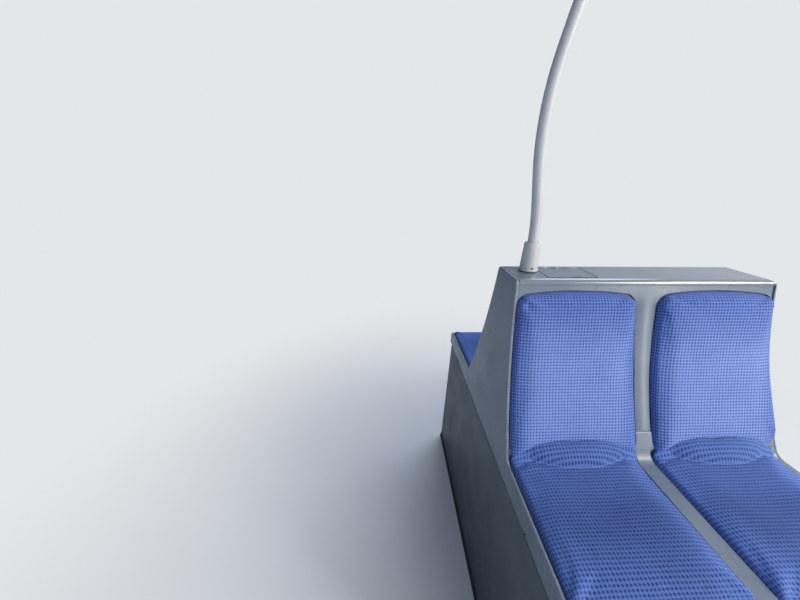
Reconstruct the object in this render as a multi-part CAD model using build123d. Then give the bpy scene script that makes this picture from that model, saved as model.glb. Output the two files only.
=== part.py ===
"""Back-to-back seat group of a city bus, standing on its wheel-arch housing.

X runs from the aisle to the window, Y along the bus, Z up from the aisle floor.
The middle of the group is X = 0, Y = 0. All sizes are in millimetres.
"""
from build123d import *
import math
import os

os.makedirs("parts", exist_ok=True)

# Wheel-arch housing
ARCH_RADIUS = 530.0
ARCH_WALL = 5.0
ARCH_DEPTH = 652.5
WHEEL_CENTRE = 110.0
FLANGE_WIDTH = 45.0
FLANGE_WALL = 4.0
FLOOR_BOLT_RADIUS = 5.5
FLOOR_BOLT_EDGE = 46.25
SADDLE_HALF = 100.0
SADDLE_CROWN = 10.0

# Whole group, each height on top of the one before
GROUP_WIDTH = 905.0
PAN_HEIGHT = 67.0
SPLIT_RISE = 78.0
BACK_HEIGHT = 535.0
DECK_DEPTH = 152.0
LIP_OVERHANG = 35.5
SEAM_GAP = 2.0

# Backrest curve: its foot and the depth of its bow behind the straight chord
BACK_FOOT = 243.0
BACK_BOW = 23.0
DECK_EDGE_RADIUS = 16.0
FOOT_RADIUS = 36.0
LIP_RADIUS = 22.0

# Side panels
AISLE_LEAN = 28.0
WINDOW_LEAN = 66.0
WINDOW_EDGE_RADIUS = 26.0
RIM_WALL = 10.0
LOWER_WALL = 8.0
WINDOW_WALL = 5.0
COVE_WIDTH = 6.5
COVE_HEIGHT = 24.0
COVE_LIP = 1.2

# Seat pans, back shells and the deck
SHELL_WALL = 28.0
FIELD_DEPTH = 4.0
FIELD_CORNER = 14.0
PAN_FLOOR = 12.0
PAN_MEET = 20.0
DECK_WALL = 6.0
DECK_SKIRT = 12.0

# Rib between the two seats of a side, leaning to the aisle as it goes up
RIB_X = 14.0
RIB_LEAN = 25.0
RIB_FOOT_HALF = 30.0
RIB_MID_HALF = 29.0
RIB_TOP_HALF = 38.0

# Upholstery
PAD_TOP_DROP = 50.0
PAD_TIP_RISE = 30.0
PAD_CROWN = 15.0
PAD_ARCH = 37.0
PAD_AISLE_MARGIN = 2.0
PAD_WINDOW_MARGIN = 2.0
PAD_CORNER = 36.0
PAD_TIP_RADIUS = 14.0
PAD_WINDOW_RADIUS = 45.0
PAD_PROUD = 16.0
PAD_DEPTH = 14.0
PAD_GAP = 2.5
CUSHION_PROUD = 15.0
CUSHION_AISLE_MARGIN = 3.0
CUSHION_WINDOW_MARGIN = 19.0
CUSHION_RIB_X = 7.0
CUSHION_RIB_HALF = 27.0
CUSHION_EDGE = 22.0
CUSHION_LIP = 14.0
CUSHION_RISE = 52.0
CUSHION_CREASE = 34.0

# Square-tube frame and end aprons
TUBE = 30.0
TUBE_WALL = 3.0
APRON_WALL = 6.0

# Flap in the deck, its hinge and the pocket below it
LID_LENGTH = 150.0
LID_DEPTH = 94.0
LID_Y = -3.0
LID_GAP = 1.5
HINGE_RADIUS = 3.2
PIN_RADIUS = 1.5
HINGE_SLOT = 0.8
KNUCKLE = 40.0
PIN_CLEARANCE = 0.05
NOTCH_OFFSET = 14.0
NOTCH_WIDTH = 26.0
NOTCH_DEPTH = 5.0
POCKET_DEPTH = 58.0
POCKET_WALL = 3.0
POCKET_LIP = 6.0
POCKET_REBATE = 1.0

# Stanchion pole
POLE_RADIUS = 15.5
POLE_WALL = 2.5
POLE_EDGE = 73.0
POLE_Y = 17.0
POLE_BEND_RADIUS = 800.0
POLE_BENDS = [(0.0, 143.0), (-28.0, 343.0), (-28.0, 495.0)]
POLE_TOP_SLOPE = 0.22
SOCKET_RADIUS = 29.0
SOCKET_RING = 7.0
SOCKET_SLEEVE = 25.3
SOCKET_SHOULDER = 4.0
SOCKET_HEIGHT = 88.0
SOCKET_FLOOR = 6.0
SOCKET_GAP = 0.3
SOCKET_CLEARANCE = 5.0
CEILING_HEIGHT = 2196.0
FLANGE_RADIUS = 46.0
CEILING_FLANGE_WALL = 6.0
CEILING_BOLT_CIRCLE = 68.0
CEILING_BOLT_RADIUS = 3.3

# Heights, from the floor up
SEAM_HEIGHT = WHEEL_CENTRE + ARCH_RADIUS + ARCH_WALL + SADDLE_CROWN
RIM_HEIGHT = SEAM_HEIGHT + PAN_HEIGHT
SPLIT_HEIGHT = RIM_HEIGHT + SPLIT_RISE
DECK_HEIGHT = RIM_HEIGHT + BACK_HEIGHT
PAD_TOP = DECK_HEIGHT - PAD_TOP_DROP
PAD_TIP = RIM_HEIGHT + PAD_TIP_RISE
PAD_MIDDLE = (PAD_TOP + PAD_TIP) / 2
CUSHION_TOP = RIM_HEIGHT + CUSHION_PROUD
CUSHION_BASE = SEAM_HEIGHT + PAN_FLOOR

# Widths and lengths
HALF_WIDTH = GROUP_WIDTH / 2
HALF_DECK = DECK_DEPTH / 2
AISLE_FOOT = -HALF_WIDTH + COVE_WIDTH
ARCH_INNER = HALF_WIDTH - ARCH_DEPTH
arch_foot = math.sqrt(ARCH_RADIUS ** 2 - WHEEL_CENTRE ** 2)
flange_y = arch_foot + ARCH_WALL + FLANGE_WIDTH
apron_end = flange_y + APRON_WALL
HALF_LENGTH = apron_end + LIP_OVERHANG
BIG = 3 * GROUP_WIDTH
SIDES = {"front": -1, "rear": 1}
SEATS = ("aisle", "window")


def save(shape, name):
    """Label a sub-part and write it to its own file."""
    shape.label = name
    export_step(shape, f"parts/{name}.step")


def box_between(x0, x1, y0, y1, z0, z1):
    """A box from its lowest to its highest corner."""
    centre = Location(((x0 + x1) / 2, (y0 + y1) / 2, (z0 + z1) / 2))
    return centre * Box(x1 - x0, y1 - y0, z1 - z0)


def face_on(plane, edges):
    """A flat face inside edges that are drawn in a plane's own two directions."""
    return make_face([plane * edge for edge in edges])


def nearest(face, **place):
    """The corner of a flat face that lies nearest to a place given by two of its coordinates."""
    return min(face.vertices(), key=lambda v: sum(abs(getattr(v, axis) - at) for axis, at in place.items()))


def aisle_x(z, inset=0.0):
    """The leaning plane of the aisle side at height z, moved into the group."""
    return AISLE_FOOT + AISLE_LEAN * z / DECK_HEIGHT + inset


def window_x(z, inset=0.0):
    """The window side: upright to the seat rim, leaning in above it."""
    lean = WINDOW_LEAN * max(0.0, z - RIM_HEIGHT) / (DECK_HEIGHT - RIM_HEIGHT)
    return HALF_WIDTH - lean - inset


def across(z0, z1, aisle_inset, window_inset):
    """The space between the two side planes, as a solid as long as the group."""
    corners = [(aisle_x(z0, aisle_inset), z0), (aisle_x(z1, aisle_inset), z1)]
    corners.append((window_x(z1, window_inset), z1))
    if z0 < RIM_HEIGHT < z1:
        corners.append((window_x(RIM_HEIGHT, window_inset), RIM_HEIGHT))
    corners.append((window_x(z0, window_inset), z0))
    face = make_face(Plane.XZ * Polyline(*corners, close=True))
    return extrude(face, BIG, both=True)


def aisle_slab(z0, z1, wall):
    """A leaning plate of the aisle side."""
    corners = [(aisle_x(z0), z0), (aisle_x(z1), z1), (aisle_x(z1, wall), z1), (aisle_x(z0, wall), z0)]
    return extrude(make_face(Plane.XZ * Polyline(*corners, close=True)), BIG, both=True)


def window_slab(z0, z1, wall):
    """The plate of the window side, bent at the seat rim."""
    levels = [z0, RIM_HEIGHT, z1]
    outer = [(window_x(z), z) for z in levels]
    inner = [(window_x(z, wall), z) for z in reversed(levels)]
    return extrude(make_face(Plane.XZ * Polyline(*outer, *inner, close=True)), BIG, both=True)


def window_round():
    """The group's cross-section with its top edge on the window side rounded off."""
    low = SEAM_HEIGHT - SEAM_GAP
    corners = [(-BIG, low), (-BIG, DECK_HEIGHT), (window_x(DECK_HEIGHT), DECK_HEIGHT),
               (window_x(RIM_HEIGHT), RIM_HEIGHT), (window_x(low), low)]
    face = make_face(Plane.XZ * Polyline(*corners, close=True))
    face = fillet(nearest(face, X=window_x(DECK_HEIGHT), Z=DECK_HEIGHT), WINDOW_EDGE_RADIUS)
    return extrude(face, BIG, both=True)


# The backrest face is one arc through its top, its bow and its foot
chord_y = BACK_FOOT - HALF_DECK
chord_z = DECK_HEIGHT - RIM_HEIGHT
CHORD = math.hypot(chord_y, chord_z)
FACE_RADIUS = (CHORD / 2) ** 2 / (2 * BACK_BOW) + BACK_BOW / 2
centre_out = FACE_RADIUS - BACK_BOW
FACE_Y = (HALF_DECK + BACK_FOOT) / 2 + centre_out * chord_z / CHORD
FACE_Z = (DECK_HEIGHT + RIM_HEIGHT) / 2 + centre_out * chord_y / CHORD


def back_y(z, inset=0.0):
    """Distance of the backrest face from the middle at height z, moved towards the middle by inset."""
    return FACE_Y - math.sqrt((FACE_RADIUS + inset) ** 2 - (z - FACE_Z) ** 2)


def half_profile(low, inset=0.0):
    """Side view of one half of the group above height low, as a face in the YZ plane."""
    top = DECK_HEIGHT - inset
    rim = RIM_HEIGHT - inset
    middle = (top + rim) / 2
    end = HALF_LENGTH - inset
    head, foot = (back_y(top, inset), top), (back_y(rim, inset), rim)
    line = Polyline(foot, (end, rim), (end, low), (0, low), (0, top), head)
    arc = ThreePointArc(head, (back_y(middle, inset), middle), foot)
    face = face_on(Plane.YZ, [line, arc])

    face = fillet(nearest(face, Y=back_y(top, inset), Z=top), DECK_EDGE_RADIUS - inset / 2)
    face = fillet(nearest(face, Y=back_y(rim, inset), Z=rim), FOOT_RADIUS)
    return fillet(nearest(face, Y=end, Z=rim), LIP_RADIUS)


def full_profile(low, inset=0.0):
    """Side view of both halves of the group above height low."""
    half = half_profile(low, inset)
    return half + mirror(half, Plane.XZ)


def place(shape, side):
    """Bodies are made for the rear half: the front half is the same turned over."""
    return shape if side > 0 else mirror(shape, Plane.XZ)


def swept_profile(face):
    """A side view carried across the whole width."""
    return extrude(face, GROUP_WIDTH, both=True)


def outer_x(seat, z, aisle_margin, window_margin):
    """A seat's outer edge at height z, next to the aisle rim or to the window side."""
    if seat == "aisle":
        return aisle_x(z, RIM_WALL + aisle_margin)
    return window_x(z, WINDOW_WALL + window_margin)


def rib_x(seat, share, half):
    """A seat's edge along the rib, at a share of the pad's height."""
    centre = RIB_X - RIB_LEAN * share
    return centre - half if seat == "aisle" else centre + half


def pad_outline(seat, grow):
    """Front view of a back pad: between rim and rib, crowned at its top and arched at its foot."""
    away = -1 if seat == "aisle" else 1
    top, tip = PAD_TOP + grow, PAD_TIP - grow
    outer_tip = (outer_x(seat, tip, PAD_AISLE_MARGIN, PAD_WINDOW_MARGIN) + away * grow, tip)
    outer_top = (outer_x(seat, top, PAD_AISLE_MARGIN, PAD_WINDOW_MARGIN) + away * grow, top)
    inner_tip = (rib_x(seat, 0, RIB_FOOT_HALF - grow), tip)
    inner_mid = (rib_x(seat, 0.5, RIB_MID_HALF - grow), PAD_MIDDLE)
    inner_top = (rib_x(seat, 1, RIB_TOP_HALF - grow), top)
    crown = ((outer_top[0] + inner_top[0]) / 2, top + PAD_CROWN)
    arch = ((outer_tip[0] + inner_tip[0]) / 2, tip + PAD_ARCH)
    edges = [Line(outer_tip, outer_top), ThreePointArc(outer_top, crown, inner_top),
             ThreePointArc(inner_top, inner_mid, inner_tip), ThreePointArc(inner_tip, arch, outer_tip)]
    face = face_on(Plane.XZ, edges)
    tip_radius = PAD_TIP_RADIUS if seat == "aisle" else PAD_WINDOW_RADIUS
    rounds = [(outer_top, PAD_CORNER + grow), (inner_top, PAD_CORNER + grow), (outer_tip, tip_radius),
              (inner_tip, PAD_TIP_RADIUS)]
    for (x, z), radius in rounds:
        face = fillet(nearest(face, X=x, Z=z), radius)
    return face


def back_band(outer, inner):
    """The space between two curves beside the backrest face, for the rear half."""
    low, high = SEAM_HEIGHT, DECK_HEIGHT
    middle = (low + high) / 2

    def arc(inset):
        return [(back_y(low, inset), low), (back_y(middle, inset), middle), (back_y(high, inset), high)]

    a, b = arc(outer), arc(inner)
    edges = [ThreePointArc(*a), Line(a[2], b[2]), ThreePointArc(*reversed(b)), Line(b[0], a[0])]
    return swept_profile(face_on(Plane.YZ, edges))


def pad_block(seat, grow, outer, inner):
    """A back pad, or the recess for it, in the rear half."""
    return extrude(pad_outline(seat, grow), HALF_LENGTH, both=True) & back_band(outer, inner)


def cushion_block(seat, grow, top, low):
    """A seat cushion, or the recess for it: flat, with a back edge that rises to the pad's arch."""
    outer = outer_x(seat, RIM_HEIGHT, CUSHION_AISLE_MARGIN, CUSHION_WINDOW_MARGIN)
    inner = CUSHION_RIB_X + (-CUSHION_RIB_HALF if seat == "aisle" else CUSHION_RIB_HALF)
    x0, x1 = min(outer, inner) - grow, max(outer, inner) + grow
    lip = HALF_LENGTH - CUSHION_LIP + grow
    wall = back_y(PAD_TIP + PAD_ARCH, -PAD_PROUD) + PAD_GAP - grow
    crease = BACK_FOOT + CUSHION_CREASE
    slope = [(wall, low), (wall, top + CUSHION_RISE), (crease, top), (lip, top), (lip, low)]
    side = make_face(Plane.YZ * Polyline(*slope, close=True))
    tip = PAD_TIP - 2 * PAD_GAP + grow
    view = [Polyline((x0, tip), (x0, low), (x1, low), (x1, tip)),
            ThreePointArc((x1, tip), ((x0 + x1) / 2, tip + PAD_ARCH), (x0, tip))]
    return swept_profile(side) & extrude(face_on(Plane.XZ, view), BIG, both=True)


# Wheel-arch housing: a round-topped tub, open below and towards the outside of the bus
arch_outer = Rot(0, 90, 0) * Cylinder(ARCH_RADIUS + ARCH_WALL, HALF_WIDTH - ARCH_INNER)
arch_inner = Rot(0, 90, 0) * Cylinder(ARCH_RADIUS, HALF_WIDTH - ARCH_INNER)
arch_place = Location(((HALF_WIDTH + ARCH_INNER) / 2, 0, WHEEL_CENTRE))
above_floor = box_between(-BIG, BIG, -BIG, BIG, 0, BIG)
arch_body = (arch_place * arch_outer) & above_floor
housing = arch_body - Pos(ARCH_WALL, 0, 0) * (arch_place * arch_inner)
floor_bolt_x = (ARCH_INNER + FLOOR_BOLT_EDGE, HALF_WIDTH - FLOOR_BOLT_EDGE)
floor_bolt_y = flange_y - FLANGE_WIDTH / 2
for side in SIDES.values():
    strip = box_between(ARCH_INNER, HALF_WIDTH, arch_foot, flange_y, 0, FLANGE_WALL)
    strip -= arch_place * arch_inner
    housing += place(strip, side)
for side in SIDES.values():
    for x in floor_bolt_x:
        housing -= Pos(x, side * floor_bolt_y, 0) * Cylinder(FLOOR_BOLT_RADIUS, 4 * FLANGE_WALL)
save(housing, "wheel_arch_housing")

# Saddle that carries the inner edges of the seat pans on the crown of the arch
saddle_end = HALF_WIDTH - WINDOW_WALL
saddle = box_between(ARCH_INNER, saddle_end, -SADDLE_HALF, SADDLE_HALF, WHEEL_CENTRE, SEAM_HEIGHT)
save(saddle - arch_place * arch_outer, "arch_saddle")

# Square-tube frame: floor rail along the aisle, four posts and two end rails
post_in = flange_y - TUBE
post_x = {"aisle": aisle_x(SEAM_HEIGHT, LOWER_WALL) + SEAM_GAP, "window": HALF_WIDTH - TUBE - WINDOW_WALL}
post_foot = {"aisle": 0.0, "window": FLANGE_WALL}
rail_low = SEAM_HEIGHT - TUBE


def square_tube(x0, x1, y0, y1, z0, z1, along):
    """A square tube from its lowest to its highest corner, open at both ends along one axis."""
    x, y, z = (0 if axis == along else TUBE_WALL for axis in "XYZ")
    return box_between(x0, x1, y0, y1, z0, z1) - box_between(x0 + x, x1 - x, y0 + y, y1 - y, z0 + z, z1 - z)


rail_x = post_x["aisle"]
save(square_tube(rail_x, rail_x + TUBE, -post_in, post_in, 0, TUBE, "Y"), "floor_rail_aisle")
for end, side in SIDES.items():
    for seat, x in post_x.items():
        post = square_tube(x, x + TUBE, post_in, flange_y, post_foot[seat], rail_low, "Z")
        save(place(post, side), f"post_{end}_{seat}")
    rail = square_tube(rail_x, post_x["window"] + TUBE, post_in, flange_y, rail_low, SEAM_HEIGHT, "X")
    save(place(rail, side), f"end_rail_{end}")

# Aisle side: lower panel, cove strip at the floor, upper panel with the seat rims
lower_top = SEAM_HEIGHT - SEAM_GAP
lower_clip = box_between(-BIG, BIG, -apron_end, apron_end, 0, lower_top)
save(aisle_slab(0, lower_top, LOWER_WALL) & lower_clip, "aisle_lower_panel")
cove_top = (aisle_x(COVE_HEIGHT), COVE_HEIGHT)
cove_lip = (aisle_x(COVE_HEIGHT, -COVE_LIP), COVE_HEIGHT)
cove_toe = (-HALF_WIDTH, COVE_LIP)
cove_bend = [(AISLE_FOOT - 1.6 * COVE_LIP, COVE_HEIGHT / 2), (AISLE_FOOT - 3 * COVE_LIP, COVE_HEIGHT / 6)]
cove = make_face(Plane.XZ.offset(-apron_end) * Polyline(
    cove_toe, (-HALF_WIDTH, 0), (AISLE_FOOT, 0), cove_top, cove_lip, *cove_bend, close=True))
save(extrude(cove, 2 * apron_end), "cove_strip")
upper = swept_profile(full_profile(SEAM_HEIGHT)) & aisle_slab(SEAM_HEIGHT, DECK_HEIGHT, RIM_WALL)
save(upper, "aisle_upper_panel")
window = swept_profile(full_profile(SEAM_HEIGHT)) & window_slab(SEAM_HEIGHT, DECK_HEIGHT, WINDOW_WALL)
save(window & window_round(), "window_side_panel")

# Between the side panels
inside = across(SEAM_HEIGHT, DECK_HEIGHT, RIM_WALL, WINDOW_WALL) & window_round()
for end, side in SIDES.items():
    apron = across(0, lower_top, LOWER_WALL, 0) & box_between(-BIG, BIG, flange_y, apron_end, 0, BIG)
    save(place(apron, side), f"end_apron_{end}")

# Seat pan: tray with a recess for each cushion and the foot of the backrest frame
pan = swept_profile(half_profile(SEAM_HEIGHT)) & inside
pan &= box_between(-BIG, BIG, PAN_MEET, BIG, SEAM_HEIGHT, SPLIT_HEIGHT)
pan -= box_between(-BIG, BIG, 0, back_y(SPLIT_HEIGHT, SHELL_WALL), SEAM_HEIGHT + PAN_FLOOR, SPLIT_HEIGHT)
for seat in SEATS:
    pan -= cushion_block(seat, PAD_GAP, DECK_HEIGHT, CUSHION_BASE)
    pan -= pad_block(seat, PAD_GAP, -PAD_PROUD - SHELL_WALL, PAD_DEPTH)
for end, side in SIDES.items():
    save(place(pan, side), f"seat_pan_{end}")

# Back shell: curved frame with a sunk field, a recess for each pad and a rib between them
skirt_low = DECK_HEIGHT - DECK_SKIRT
shell = swept_profile(half_profile(SEAM_HEIGHT)) & inside & back_band(0, SHELL_WALL)
shell &= box_between(-BIG, BIG, 0, BIG, SPLIT_HEIGHT, skirt_low)
field_low, field_top = SPLIT_HEIGHT - SPLIT_RISE, skirt_low - FIELD_DEPTH
corners = [(aisle_x(field_low, RIM_WALL), field_low), (aisle_x(field_top, RIM_WALL), field_top),
           (HALF_WIDTH, field_top), (HALF_WIDTH, field_low)]
field = make_face(Plane.XZ * Polyline(*corners, close=True))
field = fillet(nearest(field, X=corners[1][0], Z=field_top), FIELD_CORNER)
shell -= extrude(field, HALF_LENGTH, both=True) & back_band(-SHELL_WALL, FIELD_DEPTH)
for seat in SEATS:
    shell -= pad_block(seat, PAD_GAP, -PAD_PROUD - SHELL_WALL, PAD_DEPTH)
for end, side in SIDES.items():
    save(place(shell, side), f"back_shell_{end}")

# Upholstery: a back pad and a cushion for each of the four seats
for seat in SEATS:
    pad = pad_block(seat, 0, -PAD_PROUD, PAD_DEPTH)
    cushion = cushion_block(seat, 0, CUSHION_TOP, CUSHION_BASE)
    lip_edges = cushion.edges().filter_by(Axis.X).group_by(Axis.Y)[-1].sort_by(Axis.Z)[-1:]
    cushion = fillet(lip_edges, CUSHION_EDGE)
    for end, side in SIDES.items():
        save(place(pad, side), f"back_pad_{end}_{seat}")
        save(place(cushion, side), f"cushion_{end}_{seat}")

# Deck cover with its opening, the flap and the hinge at the flap's rear edge
pole_x = aisle_x(DECK_HEIGHT, POLE_EDGE)
lid_x0 = pole_x + SOCKET_RADIUS + SOCKET_CLEARANCE
lid_x1 = lid_x0 + LID_LENGTH
LID_X = (lid_x0 + lid_x1) / 2
lid_y0, lid_y1 = LID_Y - LID_DEPTH / 2, LID_Y + LID_DEPTH / 2
lid_low = DECK_HEIGHT - DECK_WALL
hinge_y = lid_y1 + HINGE_RADIUS + HINGE_SLOT
hinge_z = DECK_HEIGHT
deck = swept_profile(full_profile(SEAM_HEIGHT)) & inside & box_between(-BIG, BIG, -BIG, BIG, skirt_low, BIG)
hollow = swept_profile(full_profile(SEAM_HEIGHT, DECK_WALL))
hollow &= box_between(-BIG, BIG, -BIG, BIG, skirt_low, lid_low)
hollow_edge = max(WINDOW_WALL + DECK_WALL, WINDOW_EDGE_RADIUS)
deck -= hollow & across(skirt_low, DECK_HEIGHT, RIM_WALL + DECK_WALL, hollow_edge)
opening_y1 = hinge_y + HINGE_RADIUS + HINGE_SLOT
hole_x0, hole_x1 = lid_x0 - LID_GAP, lid_x1 + LID_GAP
deck -= box_between(hole_x0, hole_x1, lid_y0 - LID_GAP, opening_y1, skirt_low, DECK_HEIGHT)
barrel = Location((0, hinge_y, hinge_z), (0, 90, 0))
lid = box_between(lid_x0, lid_x1, lid_y0, lid_y1, lid_low, DECK_HEIGHT)
notch_x = LID_X + NOTCH_OFFSET
notch_x0, notch_x1 = notch_x - NOTCH_WIDTH / 2, notch_x + NOTCH_WIDTH / 2
lid -= box_between(notch_x0, notch_x1, lid_y0, lid_y0 + NOTCH_DEPTH, lid_low, DECK_HEIGHT)
ear_half = (LID_LENGTH - KNUCKLE - 2 * HINGE_SLOT) / 4
ear_x = KNUCKLE / 2 + HINGE_SLOT + ear_half
for x, length in ((LID_X - ear_x, 2 * ear_half), (LID_X + ear_x, 2 * ear_half)):
    ear = Pos(x, 0, 0) * barrel * Cylinder(HINGE_RADIUS, length)
    web_end = opening_y1 + HINGE_SLOT
    web = box_between(x - length / 2, x + length / 2, hinge_y, web_end, hinge_z - HINGE_RADIUS, hinge_z)
    deck += (ear + web) - Pos(x, 0, 0) * barrel * Cylinder(PIN_RADIUS, length)
middle = barrel * Cylinder(HINGE_RADIUS, KNUCKLE)
leaf = box_between(-KNUCKLE / 2, KNUCKLE / 2, lid_y1 - HINGE_SLOT, hinge_y, hinge_z - HINGE_RADIUS, hinge_z)
bore = barrel * Cylinder(PIN_RADIUS + PIN_CLEARANCE, KNUCKLE)
lid += Pos(LID_X, 0, 0) * (middle + leaf - bore)
save(deck, "deck_cover")
save(lid, "deck_flap")
save(Pos(LID_X, 0, 0) * barrel * Cylinder(PIN_RADIUS, LID_LENGTH), "flap_hinge_pin")

# Pocket below the flap, hung from the deck by its lip
pocket_x0, pocket_x1 = lid_x0 + POCKET_LIP, lid_x1 - POCKET_LIP
pocket_y0, pocket_y1 = lid_y0 + POCKET_LIP, lid_y1 - POCKET_LIP
pocket_low = lid_low - POCKET_DEPTH
tray = box_between(pocket_x0, pocket_x1, pocket_y0, pocket_y1, pocket_low, lid_low)
tray += box_between(lid_x0 - POCKET_LIP, lid_x1 + POCKET_LIP, lid_y0 - POCKET_LIP, pocket_y1,
                    lid_low - POCKET_REBATE - POCKET_WALL, lid_low)
tray -= box_between(pocket_x0 + POCKET_WALL, pocket_x1 - POCKET_WALL, pocket_y0 + POCKET_WALL,
                    pocket_y1 - POCKET_WALL, pocket_low + POCKET_WALL, lid_low)
tray -= box_between(hole_x0, hole_x1, lid_y0 - LID_GAP, lid_y1, lid_low - POCKET_REBATE, lid_low)
save(tray, "flap_pocket")

# Stanchion pole: ringed socket on the deck, bent tube, flange at the ceiling
pole_low = DECK_HEIGHT + SOCKET_FLOOR
pole_top = CEILING_HEIGHT - CEILING_FLANGE_WALL
bore = POLE_RADIUS + SOCKET_GAP
socket_side = [(0, 0), (SOCKET_RADIUS, 0), (SOCKET_RADIUS, SOCKET_RING), (SOCKET_SLEEVE, SOCKET_RING)]
socket_side += [(SOCKET_SLEEVE, SOCKET_HEIGHT - SOCKET_SHOULDER), (SOCKET_SLEEVE - SOCKET_SHOULDER, SOCKET_HEIGHT)]
socket_side += [(bore, SOCKET_HEIGHT), (bore, SOCKET_FLOOR), (0, SOCKET_FLOOR)]
socket = revolve(make_face(Plane.XZ * Polyline(*socket_side, close=True)), Axis.Z)
save(Pos(pole_x, POLE_Y, DECK_HEIGHT) * socket, "pole_socket")

# The pole's line: offset from the socket in X, height; its last run leans on to the ceiling
last_x, last_z = POLE_BENDS[-1][0], DECK_HEIGHT + POLE_BENDS[-1][1]
top_x = pole_x + last_x + POLE_TOP_SLOPE * (pole_top - last_z)
run_out = 4 * POLE_RADIUS
route = [(pole_x, pole_low)]
route += [(pole_x + x, DECK_HEIGHT + z) for x, z in POLE_BENDS]
route += [(top_x + POLE_TOP_SLOPE * run_out, pole_top + run_out)]
path = Plane.XZ.offset(-POLE_Y) * FilletPolyline(*route, radius=POLE_BEND_RADIUS)
start = Plane(origin=path @ 0, z_dir=path % 0)
tube = sweep(start * Circle(POLE_RADIUS), path=path)
hollow = sweep(start * Circle(POLE_RADIUS - POLE_WALL), path=path)
save((tube - hollow) & box_between(-BIG, BIG, -BIG, BIG, 0, pole_top), "stanchion_pole")
upward = (Align.CENTER, Align.CENTER, Align.MIN)
flange = Pos(top_x, POLE_Y, pole_top) * Cylinder(FLANGE_RADIUS, CEILING_FLANGE_WALL, align=upward)
for k in range(3):
    turn = math.radians(90 + 120 * k)
    hole_x = top_x + CEILING_BOLT_CIRCLE / 2 * math.cos(turn)
    hole_y = POLE_Y + CEILING_BOLT_CIRCLE / 2 * math.sin(turn)
    flange -= Pos(hole_x, hole_y, pole_top) * Cylinder(CEILING_BOLT_RADIUS, 4 * CEILING_FLANGE_WALL)
save(flange, "ceiling_flange")
print("ceiling flange at", round(top_x, 3), POLE_Y, CEILING_HEIGHT)
print("floor bolts", [round(x, 3) for x in floor_bolt_x], round(floor_bolt_y, 3))
print("hinge", round(LID_X, 3), round(hinge_y, 3), round(hinge_z, 3), "pole", round(pole_x, 3))
print("pocket", [round(v, 2) for v in (pocket_x0, pocket_x1, pocket_y0, pocket_y1, pocket_low, lid_low)])
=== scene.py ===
# %% [markdown]
# # The wheel-arch seat group of a city bus
#
# Four seats stand back to back on the housing over a wheel. Two moulded shells carry them, a flat deck
# with a flap joins the shells at the top, and a bent pole runs from the deck up to the ceiling.
# The construction comes as a fixed frame of solids. This lesson gives them their looks: the
# rounded edges of moulded parts, stuffed pads with their woven cover, the pole, and every finish.

# %% Load the frame
import math

import bmesh
import bpy
import numpy as np
from mathutils import Matrix, Vector
from mathutils.bvhtree import BVHTree


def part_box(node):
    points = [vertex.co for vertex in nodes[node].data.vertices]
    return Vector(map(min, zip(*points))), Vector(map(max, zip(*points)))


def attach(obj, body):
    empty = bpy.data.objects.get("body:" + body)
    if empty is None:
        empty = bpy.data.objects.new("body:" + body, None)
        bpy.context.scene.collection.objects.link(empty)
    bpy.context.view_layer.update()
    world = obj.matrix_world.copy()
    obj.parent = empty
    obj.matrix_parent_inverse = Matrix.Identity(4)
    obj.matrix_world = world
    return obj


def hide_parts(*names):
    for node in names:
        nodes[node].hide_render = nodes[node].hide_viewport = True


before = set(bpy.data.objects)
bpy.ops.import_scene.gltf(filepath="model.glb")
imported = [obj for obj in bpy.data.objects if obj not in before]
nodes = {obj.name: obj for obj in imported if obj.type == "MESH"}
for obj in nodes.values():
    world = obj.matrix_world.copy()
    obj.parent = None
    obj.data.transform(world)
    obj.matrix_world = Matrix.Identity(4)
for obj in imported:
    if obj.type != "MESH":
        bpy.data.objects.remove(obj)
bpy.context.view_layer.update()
MM = 0.001

# %% [markdown]
# ## The camera
#
# The picture was taken standing in the aisle, in front of the seats and a little above their deck.
# Three turns set the view: to the side, down, and a slight roll. The focal length is known in
# pixels of an 800 pixel wide picture, so it is carried over to a sensor of 36 mm.

# %% Place the camera
CAMERA_PLACE = (-0.7965, -0.916, 1.543)
YAW, PITCH, ROLL = (math.radians(a) for a in (2.84, 22.5, 1.03))
FOCAL_PIXELS = 311.5
PICTURE_WIDTH = 800

level = Vector((math.sin(YAW), math.cos(YAW), 0))
across = Vector((math.cos(YAW), -math.sin(YAW), 0))
up = Vector((0, 0, 1))
ahead = level * math.cos(PITCH) - up * math.sin(PITCH)
above = level * math.sin(PITCH) + up * math.cos(PITCH)
right = across * math.cos(ROLL) + above * math.sin(ROLL)
above = above * math.cos(ROLL) - across * math.sin(ROLL)
camera = bpy.data.objects.new("camera", bpy.data.cameras.new("camera"))
bpy.context.scene.collection.objects.link(camera)
camera.matrix_world = Matrix.Translation(CAMERA_PLACE) @ Matrix((right, above, -ahead)).transposed().to_4x4()
camera.data.sensor_width = 36.0
camera.data.lens = camera.data.sensor_width * FOCAL_PIXELS / PICTURE_WIDTH
camera.data.clip_start = 0.02
bpy.context.scene.camera = camera
print("lens", round(camera.data.lens, 2), "mm")

# %% [markdown]
# ## Two small tools
#
# Colours are chosen on a screen, in sRGB, but the renderer counts light in linear steps, so one
# function turns a hex value over. A second one adds a node: its own settings, and its inputs by
# name or number, each a value or another node's output.

# %% Colour and node helpers
def linear(code):
    """An sRGB hex colour as linear red, green, blue and full opacity."""
    value = np.array([int(code[i:i + 2], 16) for i in (1, 3, 5)]) / 255
    curve = np.where(value <= 0.04045, value / 12.92, ((value + 0.055) / 1.055) ** 2.4)
    return (*curve.tolist(), 1.0)


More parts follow.
